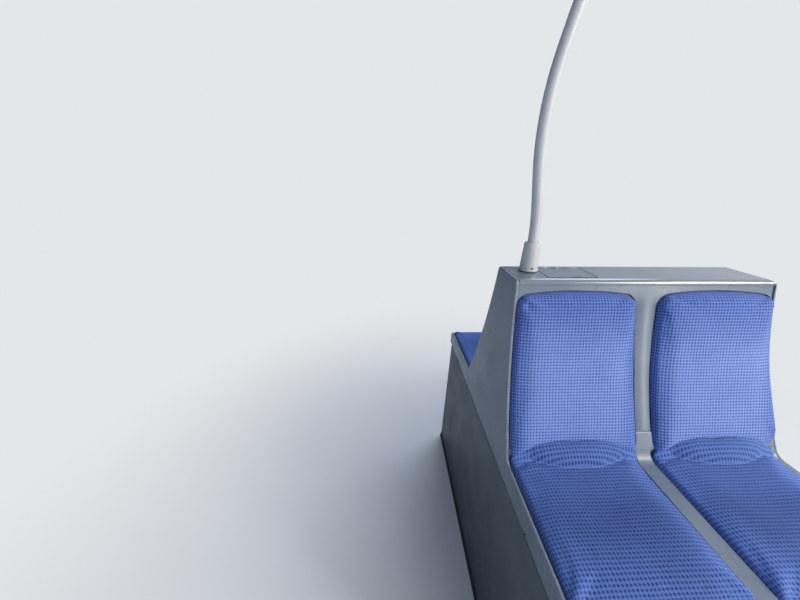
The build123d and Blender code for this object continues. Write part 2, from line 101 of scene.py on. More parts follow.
def add(tree, kind, inputs=None, **settings):
    """Adds a shader node of a kind, with its settings and its inputs set or linked."""
    node = tree.nodes.new("ShaderNode" + kind)
    for key, value in settings.items():
        setattr(node, key, value)
    for key, value in (inputs or {}).items():
        if isinstance(value, bpy.types.NodeSocket):
            tree.links.new(value, node.inputs[key])
        else:
            node.inputs[key].default_value = value
    return node


view = bpy.context.scene.view_settings
view.view_transform = "Standard"
print("mid grey is", round(linear("#808080")[0], 3), "in linear light")

# %% [markdown]
# ## Floor, world and lamps
#
# A plain pale floor takes the shadow and fades into the background some metres out, as a studio's
# paper roll does. In a bus the seats get their light from the windows beside and in front of them,
# while the aisle and the rear are dim. So the strongest lamps stand at the windows, the world is
# pale on that side and blue-grey on the other, and gloss mirrors the same change. The tall narrow
# lamp is a window between two pillars: it draws the bright streak down the rib. The camera itself
# sees one even pale backdrop.

# %% Floor
FLOOR_HALF = 30.0
FLOOR_PATCHES = 3.0  # to the metre
FADE_FROM, FADE_TO = 0.4, 2.8
BACKDROP, BACKDROP_LIGHT = "#E9ECEE", 0.95
floor_mesh = bpy.data.meshes.new("floor")
corner = FLOOR_HALF * np.array([(-1, -1, 0), (1, -1, 0), (1, 1, 0), (-1, 1, 0)])
floor_mesh.from_pydata(corner.tolist(), [], [(0, 1, 2, 3)])
floor = bpy.data.objects.new("studio_floor", floor_mesh)
bpy.context.scene.collection.objects.link(floor)
paint = bpy.data.materials.new("pale studio floor")
paint.use_nodes = True
tree = paint.node_tree
base = tree.nodes["Principled BSDF"]
base.inputs["Roughness"].default_value = 0.9
place = add(tree, "TexCoord")
mottle = add(tree, "TexNoise", {"Vector": place.outputs["Object"], "Scale": FLOOR_PATCHES, "Detail": 4.0})
shade = add(tree, "ValToRGB", {"Fac": mottle.outputs["Fac"]})
shade.color_ramp.elements[0].color = linear("#D3D5D6")
shade.color_ramp.elements[1].color = linear("#DDDFE0")
tree.links.new(shade.outputs["Color"], base.inputs["Base Color"])
far = add(tree, "VectorMath", {0: place.outputs["Object"]}, operation="LENGTH")
fade = add(tree, "MapRange", {0: far.outputs["Value"], 1: FADE_FROM, 2: FADE_TO, 3: 0.0, 4: 1.0},
           interpolation_type="SMOOTHSTEP")
ray = add(tree, "LightPath")
fade = add(tree, "Math", {0: fade.outputs[0], 1: ray.outputs["Is Camera Ray"]}, operation="MULTIPLY")
paper = add(tree, "Emission", {"Color": linear(BACKDROP), "Strength": BACKDROP_LIGHT})
blend = add(tree, "MixShader", {0: fade.outputs[0], 1: base.outputs[0], 2: paper.outputs[0]})
tree.links.new(blend.outputs[0], tree.nodes["Material Output"].inputs["Surface"])
floor_mesh.materials.append(paint)
print("floor fades out by", FADE_TO, "m")

# %% World
WINDOW_WAY = (0.8, -0.6, 0.0)
WORLD_LIGHT = 0.62
world = bpy.data.worlds.new("studio")
bpy.context.scene.world = world
world.use_nodes = True
tree = world.node_tree
ray = add(tree, "LightPath")
way = add(tree, "TexCoord").outputs["Generated"]
toward = add(tree, "VectorMath", {0: way, 1: WINDOW_WAY}, operation="DOT_PRODUCT")
window = add(tree, "MapRange", {0: toward.outputs["Value"], 1: -0.5, 2: 0.5, 3: 0.0, 4: 1.0},
             interpolation_type="SMOOTHSTEP")
mirrored = add(tree, "Mix", {0: window.outputs[0], 6: linear("#36546E"), 7: linear("#EEF4FC")},
               data_type="RGBA")
around = add(tree, "Mix", {0: window.outputs[0], 6: linear("#425E78"), 7: linear("#E9EDF3")},
             data_type="RGBA")
glow = tree.nodes["Background"]
tree.links.new(around.outputs[2], glow.inputs["Color"])
glow.inputs["Strength"].default_value = WORLD_LIGHT
gloss = add(tree, "Background", {"Color": mirrored.outputs[2], "Strength": BACKDROP_LIGHT})
paper = add(tree, "Background", {"Color": linear(BACKDROP), "Strength": BACKDROP_LIGHT})
mix = add(tree, "MixShader", {0: ray.outputs["Is Glossy Ray"], 1: glow.outputs[0], 2: gloss.outputs[0]})
mix = add(tree, "MixShader", {0: ray.outputs["Is Camera Ray"], 1: mix.outputs[0], 2: paper.outputs[0]})
tree.links.new(mix.outputs[0], tree.nodes["World Output"].inputs["Surface"])
print("world light", WORLD_LIGHT)

# %% Lamps
LAMPS = [
    # name, place, aim, width, height, watts, colour
    ("window_light", (2.6, -1.9, 2.9), (0.0, -0.2, 0.8), 1.7, 1.5, 103.0, "#FFF6EA"),
    ("narrow_window", (2.05, -2.35, 1.05), (0.0, -0.15, 1.0), 0.3, 1.7, 20.0, "#FFF9F0"),
    ("aisle_light", (-1.2, -2.9, 1.9), (-0.3, 0.0, 0.8), 1.1, 1.8, 15.0, "#CFE0FF"),
    ("rear_light", (1.5, 2.9, 4.0), (0.0, 0.3, 0.9), 3.2, 2.2, 125.0, "#DDE7FF"),
]
for name, spot, aim, wide, tall, watts, tint in LAMPS:
    lamp = bpy.data.lights.new(name, "AREA")
    lamp.shape = "RECTANGLE"
    lamp.size, lamp.size_y = wide, tall
    lamp.energy = watts
    lamp.color = linear(tint)[:3]
    holder = bpy.data.objects.new(name, lamp)
    bpy.context.scene.collection.objects.link(holder)
    holder.location = spot
    holder.rotation_euler = (Vector(aim) - Vector(spot)).to_track_quat("-Z", "Y").to_euler()
print(len(LAMPS), "lamps")

# %% [markdown]
# ## Finishes
#
# Every finish starts the same way: a principled surface, the object's own coordinates in metres,
# a slow mottle for colour and a fine one for the grain that the mould or the spray gun left.
# Edges that hands and bags rub get a paler tone in broken flecks: wear, and a painted highlight
# on the rims. Grooves get a painted shade. Which faces are edges is known when they are rounded,
# so each mesh carries it as a number: 1 on an edge, -1 in a groove. Two more things are asked for
# by name: a painted shade, darkest at the floor and ending 0.62 m above it, and rim_dull, the
# polish that a shiny piece has lost on its rubbed rims. Each material names its own grain and colours.

# %% The base that all hard finishes share
PATCH_MM = 160.0
FLECKS = 55.0  # to the metre: specks of about 18 mm
STREAKS = 9.0  # to the metre: smudges of about 110 mm
# Near-black colour of painted shade, used in grooves and towards the floor.
PAINTED_SHADE = "#17191B"
# Painted shade towards the floor: full at the first height, gone at the second.
FLOOR_SHADE_LOW, FLOOR_SHADE_END = 0.02, 0.62


def hard_finish(name, pale, deep, rough, grain_mm, grain_depth, rub, rub_light_share=0.5, metal=0.0,
                specular=0.5, smudge=0.16, floor_shade=0.0, rim_dull=0.0):
    """A hard surface: two close tones in slow patches, a grain, paler edges and shaded grooves.

    The colour is the patches, mixed with the painted shade colour by floor shade x the way down
    from its end height, with the edge colour by edge number x flecks (wear and a painted highlight),
    and with painted shade again by 0.85 x -edge number in a groove. Roughness is rough - smudge / 3
    to rough + smudge x 2 / 3 in streaks, + rim_dull x edge number x flecks, and at least 0.85 in a groove.
    """
    material = bpy.data.materials.new(name)
    material.use_nodes = True
    tree = material.node_tree
    surface = tree.nodes["Principled BSDF"]
    surface.inputs["Metallic"].default_value = metal
    surface.inputs["Specular IOR Level"].default_value = specular
    place = add(tree, "TexCoord").outputs["Object"]

    slow = add(tree, "TexNoise", {"Vector": place, "Scale": 1000 / PATCH_MM, "Detail": 2.0,
                                  "Roughness": 0.5})
    tone = add(tree, "ValToRGB", {"Fac": slow.outputs["Fac"]})
    tone.color_ramp.elements[0].position = 0.3
    tone.color_ramp.elements[0].color = linear(deep)
    tone.color_ramp.elements[1].position = 0.7
    tone.color_ramp.elements[1].color = linear(pale)

    # Painted shade: darker towards the floor.
    height = add(tree, "SeparateXYZ", {"Vector": place})
    low = add(tree, "MapRange", {0: height.outputs["Z"], 1: FLOOR_SHADE_LOW, 2: FLOOR_SHADE_END, 3: floor_shade, 4: 0.0})
    tone = add(tree, "Mix", {0: low.outputs[0], 6: tone.outputs["Color"], 7: linear(PAINTED_SHADE)},
               data_type="RGBA")

    # Paler flecks on rounded edges: wear, and a painted highlight on the rims.
    scuff = add(tree, "TexNoise", {"Vector": place, "Scale": FLECKS, "Detail": 6.0, "Roughness": 0.75})
    fleck = add(tree, "MapRange", {0: scuff.outputs["Fac"], 1: 0.42, 2: 0.62, 3: 0.15, 4: rub_light_share})
    edge = add(tree, "Attribute", attribute_name="rub")
    wear_and_light = add(tree, "Math", {0: edge.outputs["Fac"], 1: fleck.outputs[0]}, operation="MULTIPLY",
               use_clamp=True)
    colour = add(tree, "Mix", {0: wear_and_light.outputs[0], 6: tone.outputs[2], 7: linear(rub)}, data_type="RGBA")
    # Painted shade in grooves, where the edge number is -1.
    groove = add(tree, "Math", {0: edge.outputs["Fac"], 1: -0.85}, operation="MULTIPLY", use_clamp=True)
    colour = add(tree, "Mix", {0: groove.outputs[0], 6: colour.outputs[2], 7: linear(PAINTED_SHADE)},
                 data_type="RGBA")
    tree.links.new(colour.outputs[2], surface.inputs["Base Color"])

    streak = add(tree, "TexNoise", {"Vector": place, "Scale": STREAKS, "Detail": 3.0, "Roughness": 0.5})
    dull = add(tree, "MapRange", {0: streak.outputs["Fac"], 1: 0.3, 2: 0.75, 3: rough - smudge / 3,
                                  4: rough + smudge * 2 / 3})
    dull = add(tree, "Math", {0: wear_and_light.outputs[0], 1: rim_dull, 2: dull.outputs[0]}, operation="MULTIPLY_ADD")
    dull = add(tree, "Math", {0: dull.outputs[0], 1: groove.outputs[0]}, operation="MAXIMUM")
    tree.links.new(dull.outputs[0], surface.inputs["Roughness"])

    grain = add(tree, "TexNoise", {"Vector": place, "Scale": 1000 / grain_mm, "Detail": 2.0})
    relief = add(tree, "Bump", {"Height": grain.outputs["Fac"], "Distance": grain_depth * MM,
                                "Strength": 0.6})
    tree.links.new(relief.outputs["Normal"], surface.inputs["Normal"])
    return material


print("one base, dirt", PAINTED_SHADE)

# %% Hard materials
# Moulded glass-fibre plastic, satin from its spark-eroded mould. The real grain is 1 mm across,
# drawn 2.2 mm wide so that it shows from a standing height.
SHELL = hard_finish("moulded blue-grey shell plastic", "#7D8A98", "#717E8C", 0.29, 2.2, 0.08, rub="#AEB6BE")
# The lower panels are pressed sheet plastic, duller than the shell; their darker tone and the darkening
# towards the floor are painted shade.
SHADED_PANEL = hard_finish("satin grey panel plastic", "#56616B", "#4A555F", 0.44, 1.8, 0.08, rub="#8D959C",
                    floor_shade=0.62)
# The deck is polished by hands and bags, so its grain is shallow and it mirrors the pole.
DECK = hard_finish("polished deck plastic", "#7C868F", "#727C85", 0.16, 1.6, 0.01, rub="#AEB5BB",
                   rub_light_share=0.3, specular=0.8, smudge=0.09, rim_dull=0.8)
# Silver-grey stove enamel over steel tube: an orange peel of about 3 mm.
POLE = hard_finish("silver-grey pole enamel", "#D0D2D4", "#C6C8CA", 0.30, 3.0, 0.05, rub="#E1E4E6",
                   rub_light_share=0.3, specular=0.35)
# Powder coat on the frame's tubes: nearly black, a pebbled skin.
FRAME = hard_finish("black powder coat", "#2C2F31", "#232627", 0.48, 1.4, 0.10, rub="#5A5D5F")
# The housing is sheet steel under sprayed sealer, rough as coarse paper.
HOUSING = hard_finish("sealed sheet steel", "#56585A", "#46484A", 0.62, 4.0, 0.55, rub="#7A7C7E")
# Bare drawn steel, bright, with a fine even grain.
STEEL = hard_finish("drawn steel", "#B9BBBC", "#A9ABAD", 0.30, 1.0, 0.02, rub="#D5D6D7", metal=1.0)
# The pocket is injection-moulded, near black.
POCKET = hard_finish("black moulded plastic", "#26282B", "#1D1F21", 0.50, 1.2, 0.06, rub="#4A4D50")
# Cove rubber: matt, greyed by mop water.
RUBBER = hard_finish("floor cove rubber", "#34373A", "#292C2E", 0.72, 1.5, 0.06, rub="#5F6264", specular=0.3)
print(len(bpy.data.materials), "materials")

# %% [markdown]
# ## The woven cover
#
# Bus seats wear moquette, a cut plush woven in rows. Here a regular grid of navy tufts 9.4 mm apart
# stands on a mid blue ground, and the rows and columns that carry the tufts are a little darker
# than the squares between them. The pattern follows the cloth, not space, so it reads an attribute
# that holds each point's place on the cover in metres, measured round the pad's edges.
# Where backs and legs rub, the pile is worn paler and the tufts have lost some of their ink; the
# same paler tone also paints light. A second attribute says how much: most in the middle and lower
# part of a back pad, as wear and a painted sheen; on the sides of a cushion, as wear; as painted
# light on the crescent behind its seam and towards the cushion's back, which pad and crescent shade;
# and less on its front edge, as wear.
# The threads between the tufts are 0.8 mm in reality; they are drawn 2.35 mm wide, a quarter of
# the grid, so that they show.

# %% Plush material
TUFT_PITCH = 9.4
THREAD = TUFT_PITCH / 4
TUFT_INK = (0.8, 1.0)
ROW_INK, COLUMN_INK = 0.24, 0.12
INK_LEFT = 0.78
WANDER = 2.0 * MM


def plush(name, ground, pale, tuft, rubbed_and_lit, ink_share=1.0):
    """Woven plush: tufts on a grid, darker rows and columns through them, threads, and a pile paled by wear
    and painted light.

    A cell's place is the fraction of cover place / pitch. A tuft is dark where the distance from
    the cell's middle is short, a row or a column where the distance along one axis is. The darker
    of the tuft and row + column counts, less what wear and painted light take. Threads are sine x sine.
    """
    material = bpy.data.materials.new(name)
    material.use_nodes = True
    tree = material.node_tree
    surface = tree.nodes["Principled BSDF"]
    surface.inputs["Roughness"].default_value = 0.88
    surface.inputs["Specular IOR Level"].default_value = 0.18
    surface.inputs["Sheen Weight"].default_value = 0.3
    surface.inputs["Sheen Roughness"].default_value = 0.45
    surface.inputs["Sheen Tint"].default_value = linear("#C9D3F4")
    cover = add(tree, "Attribute", attribute_name="cover")
    patch = add(tree, "TexNoise", {"Vector": cover.outputs["Vector"], "Scale": 8.0, "Detail": 5.0,
                                   "Roughness": 0.6})
    use = add(tree, "MapRange", {0: patch.outputs["Fac"], 1: 0.3, 2: 0.7, 3: 0.8, 4: 1.15})
    pile = add(tree, "Attribute", attribute_name="wear_and_light")
    pile_wear_and_light = add(tree, "Math", {0: pile.outputs["Fac"], 1: use.outputs[0]}, operation="MULTIPLY",
               use_clamp=True)
    wander = add(tree, "TexNoise", {"Vector": cover.outputs["Vector"], "Scale": 26.0, "Detail": 1.0})
    drift = add(tree, "VectorMath", {0: wander.outputs["Color"], 1: (0.5, 0.5, 0.5)}, operation="SUBTRACT")
    drift = add(tree, "VectorMath", {0: drift.outputs[0], "Scale": WANDER}, operation="SCALE")
    where = add(tree, "VectorMath", {0: cover.outputs["Vector"], 1: drift.outputs[0]}, operation="ADD")
    cell = add(tree, "VectorMath", {0: where.outputs[0], "Scale": 1000 / TUFT_PITCH}, operation="SCALE")
    inside = add(tree, "VectorMath", {0: cell.outputs[0]}, operation="FRACTION")
    middle = add(tree, "VectorMath", {0: inside.outputs[0], 1: (0.5, 0.5, 0.0)}, operation="SUBTRACT")
    flat = add(tree, "VectorMath", {0: middle.outputs[0], 1: (1.0, 0.88, 0.0)}, operation="MULTIPLY")
    reach = add(tree, "VectorMath", {0: flat.outputs[0]}, operation="LENGTH")
    spot = add(tree, "MapRange", {0: reach.outputs["Value"], 1: 0.19, 2: 0.38, 3: 1.0, 4: 0.0},
               interpolation_type="SMOOTHSTEP")
    number = add(tree, "VectorMath", {0: cell.outputs[0]}, operation="FLOOR")
    chance = add(tree, "TexWhiteNoise", {"Vector": number.outputs[0]})
    depth = add(tree, "MapRange", {0: chance.outputs["Value"], 3: TUFT_INK[0] * ink_share,
                                   4: TUFT_INK[1] * ink_share})
    tufts = add(tree, "Math", {0: spot.outputs[0], 1: depth.outputs[0]}, operation="MULTIPLY")

    off = add(tree, "VectorMath", {0: middle.outputs[0]}, operation="ABSOLUTE")
    off = add(tree, "SeparateXYZ", {0: off.outputs[0]})
    row = add(tree, "MapRange", {0: off.outputs["Y"], 1: 0.14, 2: 0.32, 3: ROW_INK * ink_share, 4: 0.0},
              interpolation_type="SMOOTHSTEP")
    column = add(tree, "MapRange", {0: off.outputs["X"], 1: 0.12, 2: 0.30, 3: COLUMN_INK * ink_share,
                                    4: 0.0}, interpolation_type="SMOOTHSTEP")
    band = add(tree, "Math", {0: row.outputs[0], 1: column.outputs[0]}, operation="ADD")
    dark = add(tree, "Math", {0: tufts.outputs[0], 1: band.outputs[0]}, operation="MAXIMUM")
    left = add(tree, "MapRange", {0: pile_wear_and_light.outputs[0], 3: 1.0, 4: INK_LEFT})
    dark = add(tree, "Math", {0: dark.outputs[0], 1: left.outputs[0]}, operation="MULTIPLY")

    axes = add(tree, "SeparateXYZ", {0: where.outputs[0]})
    threads = []
    for axis in ("X", "Y"):
        turn = add(tree, "Math", {0: axes.outputs[axis], 1: 2 * math.pi * 1000 / THREAD},
                   operation="MULTIPLY")
        threads.append(add(tree, "Math", {0: turn.outputs[0]}, operation="SINE").outputs[0])
    weave = add(tree, "Math", {0: threads[0], 1: threads[1]}, operation="MULTIPLY")
    weave_tone = add(tree, "MapRange", {0: weave.outputs[0], 1: -1.0, 2: 1.0, 3: 0.0, 4: 1.0})

    lay = add(tree, "MapRange", {0: patch.outputs["Fac"], 1: 0.32, 2: 0.68, 3: 0.1, 4: 0.7})
    share = add(tree, "Math", {0: weave_tone.outputs[0], 1: 0.3, 2: lay.outputs[0]}, operation="MULTIPLY_ADD")
    cloth = add(tree, "Mix", {0: share.outputs[0], 6: linear(ground), 7: linear(pale)}, data_type="RGBA",
                clamp_factor=True)
    cloth = add(tree, "Mix", {0: pile_wear_and_light.outputs[0], 6: cloth.outputs[2], 7: linear(rubbed_and_lit)}, data_type="RGBA")
    ink = add(tree, "Mix", {0: dark.outputs[0], 6: cloth.outputs[2], 7: linear(tuft)}, data_type="RGBA")
    tree.links.new(ink.outputs[2], surface.inputs["Base Color"])

    fuzz = add(tree, "TexNoise", {"Vector": cover.outputs["Vector"], "Scale": 900.0, "Detail": 2.0})
    high = add(tree, "Math", {0: weave.outputs[0], 1: 0.3, 2: fuzz.outputs["Fac"]}, operation="MULTIPLY_ADD")
    high = add(tree, "Math", {0: tufts.outputs[0], 1: -0.8, 2: high.outputs[0]}, operation="MULTIPLY_ADD")
    relief = add(tree, "Bump", {"Height": high.outputs[0], "Distance": 0.4 * MM, "Strength": 0.6})
    tree.links.new(relief.outputs["Normal"], surface.inputs["Normal"])
    return material


print("tufts every", TUFT_PITCH, "mm")

# %% The two covers
# The cushions get darker colours than the backs.
BACK_CLOTH = plush("blue dotted plush of the back pads", "#5C77C0", "#6D89D2", "#1B2C7A", "#87A0E2")
SEAT_CLOTH = plush("blue dotted plush of the cushions", "#48629E", "#5674B2", "#18296A", "#6785CE")
print("covers:", BACK_CLOTH.name, "and", SEAT_CLOTH.name)

# %% [markdown]
# ## The shape of a seat
#
# The back pads lie on one long arc, so a point on them is best given by three numbers: how far
# across, how far along the arc, and how far it stands proud of the shell. The arc comes from the
# deck's half depth, the foot of the backrest and its bow, as on the drawing.

# %% Backrest arc
HALF_DECK, BACK_FOOT, BACK_BOW, BACK_HEIGHT, RIM_HEIGHT = (v * MM for v in (76.0, 243.0, 23.0, 535.0, 722.0))
FIELD_DEPTH = 4.0 * MM
chord_y = BACK_FOOT - HALF_DECK
CHORD = math.hypot(chord_y, BACK_HEIGHT)
FACE_RADIUS = (CHORD / 2) ** 2 / (2 * BACK_BOW) + BACK_BOW / 2
centre_out = FACE_RADIUS - BACK_BOW
FACE_Y = (HALF_DECK + BACK_FOOT) / 2 + centre_out * BACK_HEIGHT / CHORD
FACE_Z = RIM_HEIGHT + BACK_HEIGHT / 2 + centre_out * chord_y / CHORD


def on_arc(points):
    """Across, along the arc and proud of it, for points of the front half.

    These are polar coordinates about the arc's centre: radius x angle, and radius - distance.
    """
    out, up = FACE_Y + points[:, 1], points[:, 2] - FACE_Z
    ring = np.hypot(out, up)
    return np.stack([points[:, 0], FACE_RADIUS * np.arctan2(up, out), FACE_RADIUS - ring], axis=1)


def from_arc(flat):
    """The way back: angle = along / radius, distance = radius - proud, then its sine and cosine."""
    turn = flat[:, 1] / FACE_RADIUS
    ring = FACE_RADIUS - flat[:, 2]
    return np.stack([flat[:, 0], ring * np.cos(turn) - FACE_Y, ring * np.sin(turn) + FACE_Z], axis=1)


print("backrest radius", round(FACE_RADIUS, 3), "m")

# %% [markdown]
# ## Moulded panels with real edges
#
# A moulded part never has a knife edge: the mould's corners are milled round, 1 to 5 mm. The
# solids of the frame are sharp, so each panel is copied, its loose triangles are welded, its
# flat faces made whole again, and a bevel rounds every edge. Where two edges run close beside each
# other, as on a thin lip, the round has to shrink or it would eat the lip, so each edge first
# measures its room. Weighted normals then keep the large faces flat to the eye, so that only the
# rounded edge catches a highlight.

# %% Mesh helpers
WELD = 0.01 * MM


def points_of(mesh):
    """All vertex places of a mesh as one array."""
    flat = np.empty(len(mesh.vertices) * 3)
    mesh.vertices.foreach_get("co", flat)
    return flat.reshape(-1, 3)


def put_points(mesh, points):
    """Writes vertex places back."""
    mesh.vertices.foreach_set("co", points.astype(np.float32).ravel())
    mesh.update()


def settle(piece):
    """Applies every modifier: the evaluated mesh becomes the piece's own."""
    seen = piece.evaluated_get(bpy.context.evaluated_depsgraph_get())
    mesh = bpy.data.meshes.new_from_object(seen)
    piece.modifiers.clear()
    piece.data = mesh
    return mesh


def rising(values):
    """A smooth step: share squared x (3 - 2 x share), with the share kept between 0 and 1."""
    share = np.clip(values, 0, 1)
    return share ** 2 * (3 - 2 * share)


def show(piece, body, slot, *replaced):
    """Links a finished piece to its body and hides the solids it stands for; its slot is not used."""
    if piece.name not in bpy.context.scene.objects:
        bpy.context.scene.collection.objects.link(piece)
    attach(piece, body)
    if replaced:
        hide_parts(*replaced)
    return piece


print("points nearer than", round(WELD / MM, 3), "mm are welded")

# %% Room beside each edge
NO_NEIGHBOUR = 1.0
SAMPLES = (0.08, 0.5, 0.92)


def room_beside(ends):
    """For edges given by their two ends: the distance to the nearest edge that runs alongside.

    A sample point on one edge is dropped on every other edge. The drop counts as alongside when the
    two edges are less than 45 degrees apart and the drop is nearly square to the edge.
    """
    start, reach = ends[:, 0], ends[:, 1] - ends[:, 0]
    length = np.maximum(np.linalg.norm(reach, axis=1), 1e-9)
    ahead = reach / length[:, None]
    alike = np.abs(ahead @ ahead.T) > 0.7
    room = np.full(len(ends), NO_NEIGHBOUR)
    for share in SAMPLES:
        point = start + share * reach
        gap = point[:, None] - start[None]
        along = np.clip(np.einsum("ijk,jk->ij", gap, reach) / length ** 2, 0, 1)
        drop = gap - along[..., None] * reach[None]
        far = np.linalg.norm(drop, axis=2)
        square = np.abs(np.einsum("ijk,ik->ij", drop, ahead)) < 0.35 * far
        far[~(alike & square) | (far < 1e-5)] = NO_NEIGHBOUR
        room = np.minimum(room, far.min(axis=1))
    return room


print(len(SAMPLES), "samples on an edge")

# %% Round a solid's edges
SHARP = 32.0
ROOM_SHARE = 0.42
LEAST_ROOM = 2.5 * MM
EDGE_STEPS = 3


def softened(node, width, material, slot, body="group", reshape=None, groove=None):
    """A copy of a solid with every sharp edge rounded by a width in millimetres.

    The round is the width or ROOM_SHARE x the room beside the edge, whichever is less, and nothing
    where the room is below LEAST_ROOM. Rounded faces inside the groove, a box of two corners, get
    painted shade instead of the paler edge tone.
    """
    mesh = bpy.data.meshes.new(node + "_finish")
    form = bmesh.new()
    form.from_mesh(nodes[node].data)
    bmesh.ops.remove_doubles(form, verts=form.verts, dist=WELD)
    bmesh.ops.dissolve_limit(form, angle_limit=math.radians(0.5), verts=form.verts, edges=form.edges)
    if reshape:
        reshape(form)
    weight = form.edges.layers.float.new("bevel_weight_edge")
    sharp = [e for e in form.edges if e.is_manifold and e.calc_face_angle() > math.radians(SHARP)]
    room = room_beside(np.array([[v.co[:] for v in e.verts] for e in sharp]))
    shares = np.where(room > LEAST_ROOM, np.minimum(ROOM_SHARE * room / (width * MM), 1.0), 0.0)
    for edge, share in zip(sharp, shares):
        edge[weight] = share
    form.to_mesh(mesh)
    form.free()
    mesh.materials.clear()
    mesh.materials.append(material)
    mesh.materials.append(material)
    piece = show(bpy.data.objects.new(node + "_finish", mesh), body, slot, node)
    bevel = piece.modifiers.new("mould edge", "BEVEL")
    bevel.width = width * MM
    bevel.segments = EDGE_STEPS
    bevel.limit_method = "WEIGHT"
    bevel.use_clamp_overlap = False
    bevel.miter_outer = "MITER_ARC"
    bevel.material = 1
    mesh = settle(piece)
    edge_faces = np.empty(len(mesh.polygons), dtype=np.int32)
    mesh.polygons.foreach_get("material_index", edge_faces)
    centres = np.empty(len(mesh.polygons) * 3)
    mesh.polygons.foreach_get("center", centres)
    share = edge_faces.astype(np.float32)
    if groove:
        centres = centres.reshape(-1, 3)
        share[((centres > groove[0]) & (centres < groove[1])).all(axis=1)] *= -1
    # 1 on a rounded edge (wear and a painted highlight), -1 in the groove (painted shade).
    rub = mesh.attributes.new("rub", "FLOAT", "FACE")
    rub.data.foreach_set("value", share)
    mesh.polygons.foreach_set("material_index", np.zeros_like(edge_faces))
    mesh.materials.pop()
    mesh.shade_smooth()
    normals = piece.modifiers.new("flat faces", "WEIGHTED_NORMAL")
    normals.keep_sharp = True
    return piece


print("edges past", SHARP, "degrees are rounded")

# %% [markdown]
# ## The crowned rib
#
# Between the two back pads the shell isn't flat: it swells a few millimetres to a rib, which
# stiffens the moulding and gives the light a soft vertical streak. The solid's rib is flat, so the
# mesh is cut by planes that follow the rib's lean, and the points between the pads rise by a
# parabola across the rib, which runs out to nothing at the upper edge of the pads. A few level
# cuts there give that run-out its points.

# %% Rib
RIB_MIDDLE, RIB_LEAN = 14.0 * MM, 25.0 * MM
RIB_HALF, RIB_CROWN = 31.0 * MM, 4.4 * MM
PAD_LOW, PAD_HIGH = 752.0 * MM, 1207.0 * MM
RIB_CUTS = 11
CUTS_BELOW, CUTS_ABOVE, CUT_STEP = 40 * MM, 26 * MM, 9 * MM
RUN_OUT_ABOVE, RUN_OUT_LENGTH = 22 * MM, 55 * MM
ON_FACE = 1.2 * MM


def crown_rib(form):
    """Cuts the shell along its rib and lifts the rib's face.

    The lift is crown x (1 - (distance from the middle / half width) squared) x a smooth step that
    falls to nothing just above the pads.
    """
    square = Vector((PAD_HIGH - PAD_LOW, 0, RIB_LEAN)).normalized()
    for step in np.linspace(-1, 1, RIB_CUTS):
        spot = Vector((RIB_MIDDLE + step * RIB_HALF, 0, PAD_LOW))
        everything = form.verts[:] + form.edges[:] + form.faces[:]
        bmesh.ops.bisect_plane(form, geom=everything, plane_co=spot, plane_no=square, dist=WELD)
    for height in np.arange(PAD_HIGH - CUTS_BELOW, PAD_HIGH + CUTS_ABOVE, CUT_STEP):
        everything = form.verts[:] + form.edges[:] + form.faces[:]
        bmesh.ops.bisect_plane(form, geom=everything, plane_co=(0, 0, height), plane_no=(0, 0, 1),
                               dist=WELD)
    points = np.array([v.co[:] for v in form.verts])
    side = 1.0 if points[:, 1].mean() > 0 else -1.0
    flat = on_arc(points * (1, -side, 1))
    share = (points[:, 2] - PAD_LOW) / (PAD_HIGH - PAD_LOW)
    off = (points[:, 0] - RIB_MIDDLE + RIB_LEAN * share) / RIB_HALF
    face = np.abs(flat[:, 2] + FIELD_DEPTH) < ON_FACE
    fade = rising((PAD_HIGH + RUN_OUT_ABOVE - points[:, 2]) / RUN_OUT_LENGTH)
    flat[:, 2] += np.where(face, RIB_CROWN * np.clip(1 - off ** 2, 0, 1) * fade, 0)
    for vert, place in zip(form.verts, from_arc(flat) * (1, -side, 1)):
        vert.co = place


print("rib of", RIB_CUTS, "cuts")

# %% All moulded and pressed pieces
EDGES = [
    # solids, edge in mm, material, slot
    (("aisle_upper_panel",), 4.2, SHELL, "shell_plastic"),
    (("seat_pan_front", "seat_pan_rear"), 3.0, SHELL, "shell_plastic"),
    (("window_side_panel",), 2.2, SHELL, "shell_plastic"),
    (("aisle_lower_panel", "end_apron_front", "end_apron_rear"), 2.0, SHADED_PANEL, "grey_panel"),
    (("flap_pocket",), 0.8, POCKET, "pocket_plastic"),
    (("cove_strip",), 0.5, RUBBER, "cove_rubber"),
    (("arch_saddle", "wheel_arch_housing"), 1.6, HOUSING, "housing_steel"),
    (("floor_rail_aisle", "end_rail_front", "end_rail_rear"), 2.4, FRAME, "coated_steel"),
    (("post_front_aisle", "post_front_window", "post_rear_aisle", "post_rear_window"), 2.4, FRAME,
     "coated_steel"),
    (("flap_hinge_pin",), 0.3, STEEL, "pin_steel"),
    (("ceiling_flange",), 1.2, POLE, "pole_coating"),
]
for group, width, material, slot in EDGES:
    for node in group:
        softened(node, width, material, slot)
for end in ("front", "rear"):
    softened(f"back_shell_{end}", 3.0, SHELL, "shell_plastic", reshape=crown_rib)
flap_low, flap_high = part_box("deck_flap")
GROOVE_ROUND_FLAP = 4.0 * MM
flap_groove = (np.array(flap_low) - GROOVE_ROUND_FLAP, np.array(flap_high) + GROOVE_ROUND_FLAP)
softened("deck_cover", 1.6, DECK, "deck_plastic", groove=flap_groove)
softened("deck_flap", 1.2, DECK, "deck_plastic", body="flap", groove=flap_groove)

# %% [markdown]
# ## Stuffed pads
#
# A pad is foam in a woven cover, glued to the shell at its back. Its front swells and its edges
# pull in. The plain solid gets rounded edges: the core. Its remeshed copy, an even net, has small
# steps, so the net is drawn tight on the core again, and where a pad isn't the solid's plain shape
# its net is bent now. Then a cloth simulation blows it up a little with its back held. Each point
# may move only a few millimetres, as a cover does over firm foam. One subdivision makes it fine.

